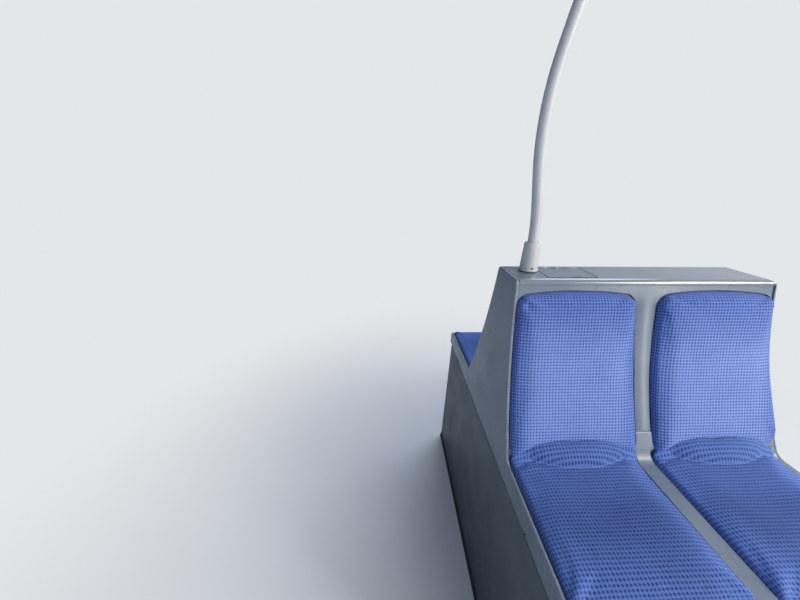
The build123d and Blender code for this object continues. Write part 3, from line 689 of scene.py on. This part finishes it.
# %% Relax a net
TO_MEAN, AND_BACK = 0.5, -0.53


def relaxed(mesh, passes):
    """Evens out a net's steps without shrinking it.

    Each pass moves a point half way to the mean of its neighbours, then pushes all points back by
    a little more than half: short waves die out, long ones stay.
    """
    ends = np.empty(len(mesh.edges) * 2, dtype=np.int64)
    mesh.edges.foreach_get("vertices", ends)
    one, other = ends.reshape(-1, 2).T
    here, there = np.concatenate([one, other]), np.concatenate([other, one])
    points = points_of(mesh)
    count = np.bincount(here, minlength=len(points))[:, None]
    for share in (TO_MEAN, AND_BACK) * passes:
        total = np.stack([np.bincount(here, weights=points[there, i], minlength=len(points))
                          for i in range(3)], axis=1)
        points += share * (total / count - points)
    put_points(mesh, points)


print("a pass takes", TO_MEAN, "of the way to the neighbours, then", AND_BACK)

# %% Stuff a solid
VOXEL = 6.0 * MM
SOFT_EDGE = 9.5
SOFT_STEPS = 4
FRAMES = 20
PRESSURE = 4.0
LAST_PASSES = 4


def stuffed(node, name, passes, held, cap, reshape):
    """A swollen copy of a soft solid, its net relaxed for some passes and bent by reshape(points).

    held(points) marks what the shell holds. A point that the cloth moved by some length keeps
    cap x (1 - e to the power of -length / cap) of it, so the cap is never passed.
    """
    piece = bpy.data.objects.new(name, nodes[node].data.copy())
    piece.data.materials.clear()
    bpy.context.scene.collection.objects.link(piece)
    form = bmesh.new()
    form.from_mesh(piece.data)
    bmesh.ops.remove_doubles(form, verts=form.verts, dist=WELD)
    bmesh.ops.dissolve_limit(form, angle_limit=math.radians(0.5), verts=form.verts, edges=form.edges)
    form.to_mesh(piece.data)
    form.free()
    round_off = piece.modifiers.new("round", "BEVEL")
    round_off.width = SOFT_EDGE * MM
    round_off.segments = SOFT_STEPS
    round_off.limit_method = "ANGLE"
    round_off.angle_limit = math.radians(40)
    round_off.use_clamp_overlap = False
    settle(piece)
    core = bpy.data.objects.new("core", piece.data.copy())
    bpy.context.scene.collection.objects.link(core)
    net = piece.modifiers.new("net", "REMESH")
    net.mode = "VOXEL"
    net.voxel_size = VOXEL
    tight = piece.modifiers.new("tight", "SHRINKWRAP")
    tight.target = core
    settle(piece)
    bpy.data.objects.remove(core)
    put_points(piece.data, reshape(points_of(piece.data)))
    relaxed(piece.data, passes)
    start = points_of(piece.data)
    fixed = held(start)
    pinned = piece.vertex_groups.new(name="held")
    pinned.add(np.flatnonzero(fixed).tolist(), 1.0, "REPLACE")
    cloth = piece.modifiers.new("cover", "CLOTH")
    cloth.settings.use_pressure = True
    cloth.settings.uniform_pressure_force = PRESSURE
    cloth.settings.effector_weights.gravity = 0.0
    cloth.settings.vertex_group_mass = "held"
    cloth.point_cache.frame_start = 1
    cloth.point_cache.frame_end = FRAMES
    for step in range(1, FRAMES + 1):
        bpy.context.scene.frame_set(step)
    settle(piece)
    bpy.context.scene.frame_set(1)
    piece.vertex_groups.clear()
    move = points_of(piece.data) - start
    length = np.linalg.norm(move, axis=1, keepdims=True)
    limit = cap * (1 - np.exp(-length / cap))
    put_points(piece.data, start + move * limit / np.maximum(length, 1e-9))
    relaxed(piece.data, LAST_PASSES)
    smooth = piece.modifiers.new("fine", "SUBSURF")
    smooth.levels = smooth.render_levels = 1
    settle(piece)
    piece.data.shade_smooth()
    print(name, len(piece.data.polygons), "faces")
    return piece


print("net of", round(VOXEL / MM, 1), "mm, cloth for", FRAMES, "frames")

# %% The cover's coordinates
def normals_of(mesh):
    """All vertex normals of a mesh as one array."""
    flat = np.empty(len(mesh.vertices) * 3)
    mesh.vertex_normals.foreach_get("vector", flat)
    return flat.reshape(-1, 3)


def lay_cover(mesh, across, along, side_across, side_along, sunk, wear_and_light):
    """Stores each point's place on the cover and its wear and painted light.

    On the face the place is taken as it lies. Past an edge it lies further out by its depth below
    the face, the way the surface looks: place + normal x depth.
    """
    place = np.zeros((len(mesh.vertices), 3))
    place[:, 0] = across + side_across * sunk
    place[:, 1] = along + side_along * sunk
    store = mesh.attributes.new("cover", "FLOAT_VECTOR", "POINT")
    store.data.foreach_set("vector", place.astype(np.float32).ravel())
    store = mesh.attributes.new("wear_and_light", "FLOAT", "POINT")
    store.data.foreach_set("value", wear_and_light.astype(np.float32))


print("a cover is laid by its normals")

# %% [markdown]
# ## Back pads
#
# A pad's lower edge goes on down behind the cushion, furthest at its two corners, so that foam
# meets foam and no gap is seen between them. The pad at the window is also fuller than its recess
# and hangs a little over the side panel. Both are small moves that fade in with the distance from
# an edge, and they are made on the net, because the solid keeps to its recess.

# %% The forms of the two pads
PAD_FACE = 16.0 * MM
PAD_HELD = -5.0 * MM
PAD_CAP = 9.0 * MM
PAD_CROWN = 3.0 * MM
PAD_PASSES = 5
PAD_OVERHANG = 6.0 * MM
OVERHANG_FROM, OVERHANG_RUN = 70.0 * MM, 60.0 * MM
OVERHANG_LIFT = 5.0 * MM
OVERHANG_ABOVE, OVERHANG_LENGTH = 10.0 * MM, 90.0 * MM
CORNER_REACH = 18.0 * MM
MIDDLE_SHARE, FORWARD_SHARE = 0.5, 0.2
MIDDLE_HIGH, CORNER_HIGH, REACH_RUN = 105.0 * MM, 75.0 * MM, 65.0 * MM


def pad_held(points):
    """The part of a pad that sits in its recess."""
    return on_arc(points)[:, 2] < PAD_HELD


def over_panel(points):
    """Hangs the window pad a little over the side panel.

    The move is overhang x nearness to the edge squared x how far the point stands proud x a
    smooth step that fades it out at the pad's top.
    """
    flat = on_arc(points)
    edge = points[:, 0].max()
    near = np.clip((points[:, 0] - edge + OVERHANG_FROM) / OVERHANG_RUN, 0, 1)
    proud = np.clip(flat[:, 2] / OVERHANG_LIFT, 0, 1)
    below = rising((PAD_HIGH + OVERHANG_ABOVE - points[:, 2]) / OVERHANG_LENGTH)
    moved = points.copy()
    moved[:, 0] += PAD_OVERHANG * near ** 2 * proud * below
    return moved


def to_corners(points):
    """Draws a pad's lower edge down behind the cushion, along the back's slope.

    The share of the reach is 1 at the two lower corners and a half in the middle, and each falls
    off by a smooth step to the side and upwards.
    """
    low, high = points[:, 0].min(), points[:, 0].max()
    off = np.abs(points[:, 0] - (low + high) / 2) / ((high - low) / 2)
    above = points[:, 2] - points[:, 2].min()
    share = MIDDLE_SHARE * rising((MIDDLE_HIGH - above) / REACH_RUN) * rising((0.95 - off) / 0.3)
    share = np.maximum(share, rising((off - 0.45) / 0.5) * rising((CORNER_HIGH - above) / REACH_RUN))
    moved = points.copy()
    moved[:, 1] -= FORWARD_SHARE * CORNER_REACH * share
    moved[:, 2] -= CORNER_REACH * share
    return moved


def to_corners_and_panel(points):
    """The window pad's form: it reaches down, then hangs over the panel."""
    return over_panel(to_corners(points))


print("pads reach", round(CORNER_REACH / MM, 1), "mm down at their corners")

# %% Make the back pads
def make_pad(seat, form):
    """A front back pad, bent to its form and swollen, with its cover's coordinates.

    Wear and a painted sheen are a smooth step in from the sides x a smooth step down from the top.
    """
    piece = stuffed(f"back_pad_front_{seat}", f"padded_back_front_{seat}", PAD_PASSES, pad_held,
                    PAD_CAP, form)
    mesh = piece.data
    flat = on_arc(points_of(mesh))
    normal = normals_of(mesh)
    turn = flat[:, 1] / FACE_RADIUS
    side_along = -np.sin(turn) * normal[:, 1] + np.cos(turn) * normal[:, 2]
    sunk = np.maximum(0.0, PAD_FACE + PAD_CROWN - flat[:, 2])
    low, high = flat.min(axis=0), flat.max(axis=0)
    from_side = 1 - np.abs(2 * (flat[:, 0] - low[0]) / (high[0] - low[0]) - 1)
    from_top = (high[1] - flat[:, 1]) / (high[1] - low[1])
    # The paler middle is wear and a painted sheen; the edges keep the darker ground.
    wear_and_light = rising(from_side / 0.4) * rising(from_top / 0.45)
    lay_cover(mesh, flat[:, 0], flat[:, 1], normal[:, 0], side_along, sunk, wear_and_light)
    return piece


soft = {}
for seat, form in (("aisle", to_corners), ("window", to_corners_and_panel)):
    soft["back", seat] = make_pad(seat, form)

# %% [markdown]
# ## Seat cushions
#
# The cushion's back edge rises to the arch of the pad and presses against it. Where the rise
# begins, the cover is sewn down along a curve, so a crescent lies behind the seam. The solid has a
# straight crease; its top is lifted here before the cloth runs, so that it climbs from the curved
# seam to the arch of the pad. People's weight has left a shallow dip in front of the seam.

# %% The form of a cushion
CUSHION_TOP = RIM_HEIGHT + 15.0 * MM
CUSHION_HELD = RIM_HEIGHT - 4.0 * MM
CUSHION_CAP = 10.0 * MM
CUSHION_SWELL = 4.0 * MM
CUSHION_PASSES = 6
# The solid's top: a slope from the crease to the wall, under an arch across.
CREASE_Y, CREASE_RISE, WALL_Y = 277.0 * MM, 52.0 * MM, 231.0 * MM
OLD_END, OLD_ARCH = 10.0 * MM, 37.0 * MM
# The new top: its rise in the middle, what its ends lose, and the least length of the slope.
MIDDLE_RISE, END_LOSS, STEEP = 66.0 * MM, 52.0 * MM, 19.0 * MM
SPREAD, SPREAD_Y, SPREAD_RUN = 4.0 * MM, 0.30, 0.05
DIP, DIP_Y, DIP_WIDE, DIP_LONG = 9.0 * MM, 385.0 * MM, 120.0 * MM, 85.0 * MM
SEAM_Y, SEAM_BOW = 285.0 * MM, 62.0 * MM


def seam_y(across, low, high):
    """How far the seam lies from the middle of the group: a parabola, furthest forward half way across."""
    share = (across - (low + high) / 2) / ((high - low) / 2)
    return SEAM_Y - SEAM_BOW * share ** 2


def crescent(points):
    """Lifts the top so that its rise starts at the curved seam instead of the straight crease.

    The new height is (middle rise - end loss x off to the fourth power) x (share of the way from
    seam to wall) to the power of 0.75, so it climbs steepest at the seam and stays full. A
    bell-shaped dip comes off it. At the two ends the back part is spread outwards a little.
    """
    low, high = points[:, 0].min(), points[:, 0].max()
    out = -points[:, 1]
    off = (points[:, 0] - (low + high) / 2) / ((high - low) / 2)
    slope = CREASE_RISE * np.clip((CREASE_Y - out) / (CREASE_Y - WALL_Y), 0, 1)
    old = np.minimum(slope, OLD_END + OLD_ARCH * (1 - off ** 2))
    start = np.maximum(seam_y(points[:, 0], low, high), WALL_Y + STEEP)
    new = (MIDDLE_RISE - END_LOSS * off ** 4) * np.clip((start - out) / (start - WALL_Y), 0, 1) ** 0.75
    across = (points[:, 0] - (low + high) / 2) / DIP_WIDE
    new -= DIP * np.exp(-across ** 2 - ((out - DIP_Y) / DIP_LONG) ** 2)
    share = np.clip((points[:, 2] - CUSHION_HELD) / (CUSHION_TOP - CUSHION_HELD), 0, 1)
    moved = points.copy()
    moved[:, 2] += (new - old) * share
    at_end = rising((np.abs(off) - 0.8) / 0.2)
    at_back = rising((SPREAD_Y - out) / SPREAD_RUN)
    moved[:, 0] += SPREAD * np.sign(off) * at_end * at_back * share
    return moved


def cushion_held(points):
    """The part of a cushion that sits in the pan."""
    return points[:, 2] < CUSHION_HELD


print("crescent rises", round(MIDDLE_RISE / MM, 1), "mm in the middle")

# %% Make the cushions
GROOVE_DEPTH, GROOVE_WIDTH = 2.6 * MM, 5.0 * MM
# The side and front values are wear; the back and crescent values are painted light.
WORN_SIDE, WORN_FRONT, PAINTED_LIGHT_BACK, PAINTED_LIGHT_CRESCENT = 0.75, 0.3, 0.4, 0.55


def make_cushion(seat):
    """A front seat cushion with its crescent, its sewn groove and its cover's coordinates.

    The groove is depth x e to the power of -(distance from the seam / width) squared. Wear adds a
    smooth step towards the sides and one at the front edge; painted light adds one towards the back,
    where the pad and crescent shade, and gives the crescent a least value.
    """
    piece = stuffed(f"cushion_front_{seat}", f"padded_seat_front_{seat}", CUSHION_PASSES, cushion_held,
                    CUSHION_CAP, crescent)
    mesh = piece.data
    points, normal = points_of(mesh), normals_of(mesh)
    low, high = points[:, 0].min(), points[:, 0].max()
    gap = -points[:, 1] - seam_y(points[:, 0], low, high)
    groove = GROOVE_DEPTH * np.exp(-(gap / GROOVE_WIDTH) ** 2) * np.clip(normal[:, 2], 0, 1)
    points -= normal * groove[:, None]
    put_points(mesh, points)
    sunk = np.maximum(0.0, CUSHION_TOP + CUSHION_SWELL - points[:, 2])
    side = np.abs(points[:, 0] - (low + high) / 2) / ((high - low) / 2)
    wear_and_light = WORN_SIDE * rising((side - 0.5) / 0.45) + WORN_FRONT * rising((-points[:, 1] - 0.44) / 0.1)
    # Painted light towards the back, where the pad and the crescent shade the cushion.
    wear_and_light += PAINTED_LIGHT_BACK * rising((0.42 + points[:, 1]) / 0.1)
    # Painted light: the crescent is kept paler.
    wear_and_light = np.where(gap < 0, np.maximum(wear_and_light, PAINTED_LIGHT_CRESCENT), wear_and_light)
    lay_cover(mesh, points[:, 0], points[:, 1], normal[:, 0], normal[:, 1], sunk, wear_and_light)
    return piece


for seat in ("aisle", "window"):
    soft["seat", seat] = make_cushion(seat)

# %% [markdown]
# ## The seats behind
#
# The rear seats are the same covers turned over. A mirrored mesh faces inwards, so its faces are
# flipped after the places are.

# %% Mirror the soft pieces and let them ride
SOLID = {"back": "back_pad", "seat": "cushion"}
CLOTH = {"back": BACK_CLOTH, "seat": SEAT_CLOTH}
for (kind, seat), piece in soft.items():
    piece.data.materials.clear()
    piece.data.materials.append(CLOTH[kind])
    twin = bpy.data.objects.new(piece.name.replace("front", "rear"), piece.data.copy())
    put_points(twin.data, points_of(twin.data) * (1, -1, 1))
    twin.data.flip_normals()
    for each, end in ((piece, "front"), (twin, "rear")):
        show(each, "group", "seat_fabric", f"{SOLID[kind]}_{end}_{seat}")
print(len(soft) * 2, "soft pieces")

# %% [markdown]
# ## Tubes and turned parts
#
# Two formulas make the rest. A tube is a circle carried along a path, square to it at each point.
# A turned part is a side view carried round an axis.

# %% Grid and mesh
def grid_faces(rows, columns):
    """Quads of a grid whose last column joins the first; a point's number is row x columns + column."""
    row, column = np.meshgrid(np.arange(rows - 1), np.arange(columns), indexing="ij")
    following = (column + 1) % columns
    quads = np.stack([row * columns + column, row * columns + following,
                      (row + 1) * columns + following, (row + 1) * columns + column], axis=-1)
    return quads.reshape(-1, 4)


def piece_from(name, points, quads, material, smooth_to=40.0):
    """A mesh object from arrays: welded, ends closed, normals turned outwards, sharp past an angle."""
    mesh = bpy.data.meshes.new(name)
    mesh.from_pydata(points.tolist(), [], quads.tolist())
    form = bmesh.new()
    form.from_mesh(mesh)
    bmesh.ops.remove_doubles(form, verts=form.verts, dist=WELD)
    bmesh.ops.holes_fill(form, edges=form.edges, sides=0)
    bmesh.ops.recalc_face_normals(form, faces=form.faces)
    form.to_mesh(mesh)
    form.free()
    mesh.materials.append(material)
    mesh.shade_smooth()
    mesh.set_sharp_from_angle(angle=math.radians(smooth_to))
    return bpy.data.objects.new(name, mesh)


print("helpers for grids")

# %% Tube, lathe and bent line
def tube_points(path, radius, sides):
    """Circles square to a path: place + radius x (cos x first direction + sin x second direction).

    The first direction is square to the path and to a guide, the second to the path and the first.
    """
    ahead = np.gradient(path, axis=0)
    ahead /= np.linalg.norm(ahead, axis=1, keepdims=True)
    guide = np.array([0.0, 1.0, 0.0])
    if abs(ahead[:, 1]).max() > 0.9:
        guide = np.array([0.0, 0.0, 1.0])
    first = np.cross(ahead, guide)
    first /= np.linalg.norm(first, axis=1, keepdims=True)
    second = np.cross(ahead, first)
    turn = np.linspace(0, 2 * math.pi, sides, endpoint=False)
    ring = first[:, None] * np.cos(turn)[None, :, None] + second[:, None] * np.sin(turn)[None, :, None]
    return (path[:, None] + radius * ring).reshape(-1, 3)


def lathe_points(side, sides):
    """Rows of (radius, height) in millimetres round a vertical axis: radius x cos, radius x sin, height."""
    side = np.array(side) * MM
    turn = np.linspace(0, 2 * math.pi, sides, endpoint=False)
    x = side[:, :1] * np.cos(turn)
    y = side[:, :1] * np.sin(turn)
    z = np.repeat(side[:, 1:], sides, axis=1)
    return np.stack([x, y, z], axis=-1).reshape(-1, 3)


def bent_path(corners, radius, step):
    """A line through corners whose bends are arcs of one radius, as evenly spaced points.

    An arc starts radius x tan(turn / 2) before its corner and runs on by radius x sin ahead and
    radius x (1 - cos) inwards.
    """
    corners = np.array(corners)
    rows = [corners[0]]
    for before, here, after in zip(corners, corners[1:], corners[2:]):
        into = (here - before) / np.linalg.norm(here - before)
        out = (after - here) / np.linalg.norm(after - here)
        turn = math.acos(np.clip(into @ out, -1, 1))
        reach = radius * math.tan(turn / 2)
        share = np.linspace(0, turn, max(3, int(radius * turn / step)))[:, None]
        inward = out - (out @ into) * into
        inward /= np.linalg.norm(inward)
        start = here - into * reach
        rows.extend(start + radius * (np.sin(share) * into + (1 - np.cos(share)) * inward))
    rows.append(corners[-1])
    rows = np.array(rows)
    length = np.concatenate([[0], np.cumsum(np.linalg.norm(np.diff(rows, axis=0), axis=1))])
    even = np.linspace(0, length[-1], int(length[-1] / step))
    return np.stack([np.interp(even, length, rows[:, i]) for i in range(3)], axis=1)


print("helpers for tubes and turned parts")

# %% [markdown]
# ## The pole and its socket
#
# The pole is one steel tube, bent cold on a large former so that it leans to the aisle at hand
# height and comes back towards the ceiling, then enamelled. It stands in a cast socket with a
# foot ring, a taper and a rounded lip. Mop water leaves the socket by a small slot above its foot,
# pressed into the turned shape here by an oval of angle and height; a painted shade darkens it inside.

# %% Pole
DECK_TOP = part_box("deck_cover")[1].z
socket_low, socket_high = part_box("pole_socket")
flange_low, flange_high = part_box("ceiling_flange")
POLE_RADIUS = 15.5 * MM
POLE_SIDES = 64
BEND_RADIUS = 0.8
PATH_STEP = 0.02
BORE_FLOOR = 6.0 * MM
POLE_BENDS = [(0.0, 0.143), (-0.028, 0.343), (-0.028, 0.495)]
pole_x, pole_y = (socket_low.x + socket_high.x) / 2, (socket_low.y + socket_high.y) / 2
top_x = (flange_low.x + flange_high.x) / 2
corners = [(pole_x, pole_y, DECK_TOP + BORE_FLOOR)]
corners += [(pole_x + x, pole_y, DECK_TOP + z) for x, z in POLE_BENDS]
corners.append((top_x, pole_y, flange_low.z))
path = bent_path(corners, BEND_RADIUS, PATH_STEP)
pole_points = tube_points(path, POLE_RADIUS, POLE_SIDES)
pole = piece_from("enamelled_pole", pole_points, grid_faces(len(path), POLE_SIDES), POLE)
show(pole, "group", "pole_coating", "stanchion_pole")
print("pole", round(path[-1][2] - path[0][2], 3), "m high")

# %% Socket
SOCKET_SIDE = [
    # radius, height: foot ring, groove, shoulder, taper, lip, bore
    (0.0, 0.0), (27.8, 0.0), (28.6, 0.5), (29.0, 1.5), (29.0, 4.6), (28.7, 5.9), (28.0, 6.7), (27.3, 6.6),
    (26.9, 6.0), (26.5, 6.0), (26.3, 6.8), (26.5, 7.6), (26.6, 8.4), (26.6, 9.2), (26.7, 10.0),
    (26.7, 10.8), (26.7, 11.6), (26.7, 12.4), (26.6, 14.0), (26.2, 26.0),
    (25.4, 48.0), (24.5, 70.0), (24.0, 81.0), (23.6, 84.0), (22.8, 86.2), (21.4, 87.6), (19.6, 88.0),
    (17.8, 87.7), (16.9, 86.8), (16.7, 85.0), (15.8, 82.5), (15.8, 6.0), (0.0, 6.0),
]
SIDES = 120
SLOT_TURN, SLOT_HALF, SLOT_HEIGHT, SLOT_RISE, SLOT_DEPTH = -90.0, 12.0, 10.0 * MM, 2.6 * MM, 3.4 * MM
cast = lathe_points(SOCKET_SIDE, SIDES)
ring = np.hypot(cast[:, 0], cast[:, 1])
turn = np.degrees(np.arctan2(cast[:, 1], cast[:, 0])) - SLOT_TURN
slot_share = rising(2.4 * (1 - np.hypot(turn / SLOT_HALF, (cast[:, 2] - SLOT_HEIGHT) / SLOT_RISE)))
slot_share *= ring > 25.0 * MM
cast[:, :2] *= (1 - SLOT_DEPTH * slot_share / np.maximum(ring, 1.0 * MM))[:, None]
cast += (pole_x, pole_y, DECK_TOP)
socket = piece_from("cast_socket", cast, grid_faces(len(SOCKET_SIDE), SIDES), POLE)
places = points_of(socket.data) - (pole_x, pole_y, DECK_TOP)
ring = np.hypot(places[:, 0], places[:, 1])
turn = np.degrees(np.arctan2(places[:, 1], places[:, 0])) - SLOT_TURN
# The slot's faces get -1: a painted shade inside the slot.
in_slot = np.hypot(turn / SLOT_HALF, (places[:, 2] - SLOT_HEIGHT) / SLOT_RISE) < 0.95
store = socket.data.attributes.new("rub", "FLOAT", "POINT")
store.data.foreach_set("value", np.where(in_slot & (ring > 20.0 * MM), -1.0, 0.0).astype(np.float32))
show(socket, "group", "pole_coating", "pole_socket")
print("socket", max(height for _, height in SOCKET_SIDE), "mm high")

# %% [markdown]
# ## Screws and bolts
#
# All fasteners are turned parts too, only some of their rows are six-sided: a hexagon's edge lies
# nearer the axis half way between its corners, by the cosine of 30 degrees. Floor bolts are
# hexagon heads on washers, the ceiling flange and the end panels have button heads with a hexagon
# socket, and a small dark screw holds the seam beside each seat.

# %% Fasteners
HEX_BOLT = [
    # radius, height in mm, hexagon share: shank, washer, head
    (0.0, -4.0, 0), (5.0, -4.0, 0), (5.0, 0.0, 0), (10.2, 0.0, 0), (10.5, 0.4, 0), (10.5, 1.7, 0),
    (10.2, 2.0, 0), (8.4, 2.0, 0), (9.0, 2.4, 1), (9.2, 3.0, 1), (9.2, 7.6, 1), (8.7, 8.2, 0.7),
    (7.6, 8.6, 0), (0.0, 8.6, 0),
]
BUTTON = [
    # shank, dome, hexagon socket
    (0.0, -3.0, 0), (2.9, -3.0, 0), (2.9, 0.0, 0), (5.4, 0.0, 0), (5.5, 0.5, 0), (5.2, 1.4, 0), (4.5, 2.2, 0),
    (3.4, 2.8, 0), (2.3, 3.0, 0), (2.1, 2.9, 1), (2.0, 1.2, 1), (0.0, 1.2, 0),
]
SMALL_SCREW = [
    # shank, dome, hexagon socket
    (0.0, -1.5, 0), (1.5, -1.5, 0), (1.5, 0.0, 0), (3.1, 0.0, 0), (3.2, 0.4, 0), (2.9, 1.0, 0),
    (2.2, 1.5, 0), (1.3, 1.6, 0), (1.1, 0.7, 1), (0.0, 0.7, 0),
]
HEAD_SIDES = 36


def fastener(name, rows, place, axis, material, slot):
    """Rings of a side view along any axis.

    A ring's radius is radius x (1 - share + share x cos 30 / cos(angle from a flat's middle)).
    """
    rows = np.array(rows)
    turn = np.linspace(0, 2 * math.pi, HEAD_SIDES, endpoint=False)
    flat = math.cos(math.pi / 6) / np.cos(turn % (math.pi / 3) - math.pi / 6)
    ring = rows[:, :1] * (1 - rows[:, 2:] * (1 - flat)) * MM
    ahead = Vector(axis).normalized()
    first = ahead.orthogonal().normalized()
    second = ahead.cross(first)
    around_axis = np.cos(turn)[:, None] * first + np.sin(turn)[:, None] * second
    points = np.array(place) + ring[..., None] * around_axis + rows[:, None, 1:2] * MM * np.array(ahead)
    piece = piece_from(name, points.reshape(-1, 3), grid_faces(len(rows), HEAD_SIDES), material, 30.0)
    return show(piece, "group", slot)


print("3 kinds of fastener")

# %% Set the fasteners
# The holes in the floor flanges and in the ceiling flange are the solids' own.
FLOOR_X, FLOOR_Y, FLANGE_TOP = (-0.15375, 0.40625), (-0.545959, 0.545959), 4.0 * MM
CEILING_RING, CEILING_TURNS = 0.034, (90, 210, 330)
# A seam screw stands on the leaning aisle panel, so its axis tips up a little.
SCREW_X, SCREW_OUT, SCREW_Z, SCREW_AXIS = -0.4313, 0.410, 0.664, (-1, 0, 0.06)
APRON_X, APRON_Z = (-0.36, 0.0, 0.36), (0.07, 0.60)
OUTSIDE = 0.9
for i, x in enumerate(FLOOR_X):
    for j, y in enumerate(FLOOR_Y):
        fastener(f"floor_bolt_{i}{j}", HEX_BOLT, (x, y, FLANGE_TOP), (0, 0, 1), STEEL, "housing_steel")
for i, turn in enumerate(np.radians(CEILING_TURNS)):
    spot = (top_x + CEILING_RING * math.cos(turn), pole_y + CEILING_RING * math.sin(turn), flange_low.z)
    fastener(f"ceiling_screw_{i}", BUTTON, spot, (0, 0, -1), STEEL, "pole_coating")
for i, side in enumerate((-1, 1)):
    spot = (SCREW_X, side * SCREW_OUT, SCREW_Z)
    fastener(f"seam_screw_{i}", SMALL_SCREW, spot, SCREW_AXIS, POCKET, "shell_plastic")
    apron = nodes["end_apron_front" if side < 0 else "end_apron_rear"].data
    wall = BVHTree.FromPolygons([v.co for v in apron.vertices], [p.vertices for p in apron.polygons])
    for j, x in enumerate(APRON_X):
        for k, z in enumerate(APRON_Z):
            hit = wall.ray_cast(Vector((x, side * OUTSIDE, z)), Vector((0, -side, 0)))
            fastener(f"apron_screw_{i}{j}{k}", BUTTON, hit[0], hit[1], STEEL, "grey_panel")
print("4 floor bolts, 3 ceiling screws, 2 seam screws, 12 apron screws")

# %% [markdown]
# ## Sewn seams
#
# A cord of lighter thread marks the line where the cushion's cover is sewn down. It follows the
# seam's curve and lies half sunk in the groove, so its height is found by a ray dropped on the
# finished cushion.

# %% Seam cords
THREAD_RADIUS = 0.9 * MM
SEAM_END = 0.80
CORD_POINTS, CORD_SIDES = 90, 10
OVERHEAD = 1.2
THREAD_INK = 0.4
seam_thread = plush("pale seam thread", "#6F8AD2", "#7F98DE", "#5F7AC6", "#8299E0", THREAD_INK)


def seam_cord(piece, name, side):
    """A thin tube along the curved seam of a cushion, its middle line on the cushion's surface."""
    mesh = piece.data
    points = points_of(mesh)
    low, high = points[:, 0].min(), points[:, 0].max()
    half, middle = (high - low) / 2, (low + high) / 2
    across = middle + half * np.linspace(-SEAM_END, SEAM_END, CORD_POINTS)
    out = seam_y(across, low, high)
    tree = BVHTree.FromPolygons([v.co for v in mesh.vertices], [p.vertices for p in mesh.polygons])
    path = []
    for x, y in zip(across, side * out):
        hit = tree.ray_cast(Vector((x, y, OVERHEAD)), Vector((0, 0, -1)))[0]
        path.append((x, y, hit.z))
    path = np.array(path)
    rings = tube_points(path, THREAD_RADIUS, CORD_SIDES)
    cord = piece_from(name, rings, grid_faces(len(path), CORD_SIDES), seam_thread)
    lay = np.zeros((len(cord.data.vertices), 3))
    lay[:, :2] = points_of(cord.data)[:, :2]
    store = cord.data.attributes.new("cover", "FLOAT_VECTOR", "POINT")
    store.data.foreach_set("vector", lay.astype(np.float32).ravel())
    return show(cord, "group", "seat_fabric")


for seat in ("aisle", "window"):
    for end, side in (("front", -1), ("rear", 1)):
        seam_cord(bpy.data.objects[f"padded_seat_{end}_{seat}"], f"seam_{end}_{seat}", side)
print("4 seams")
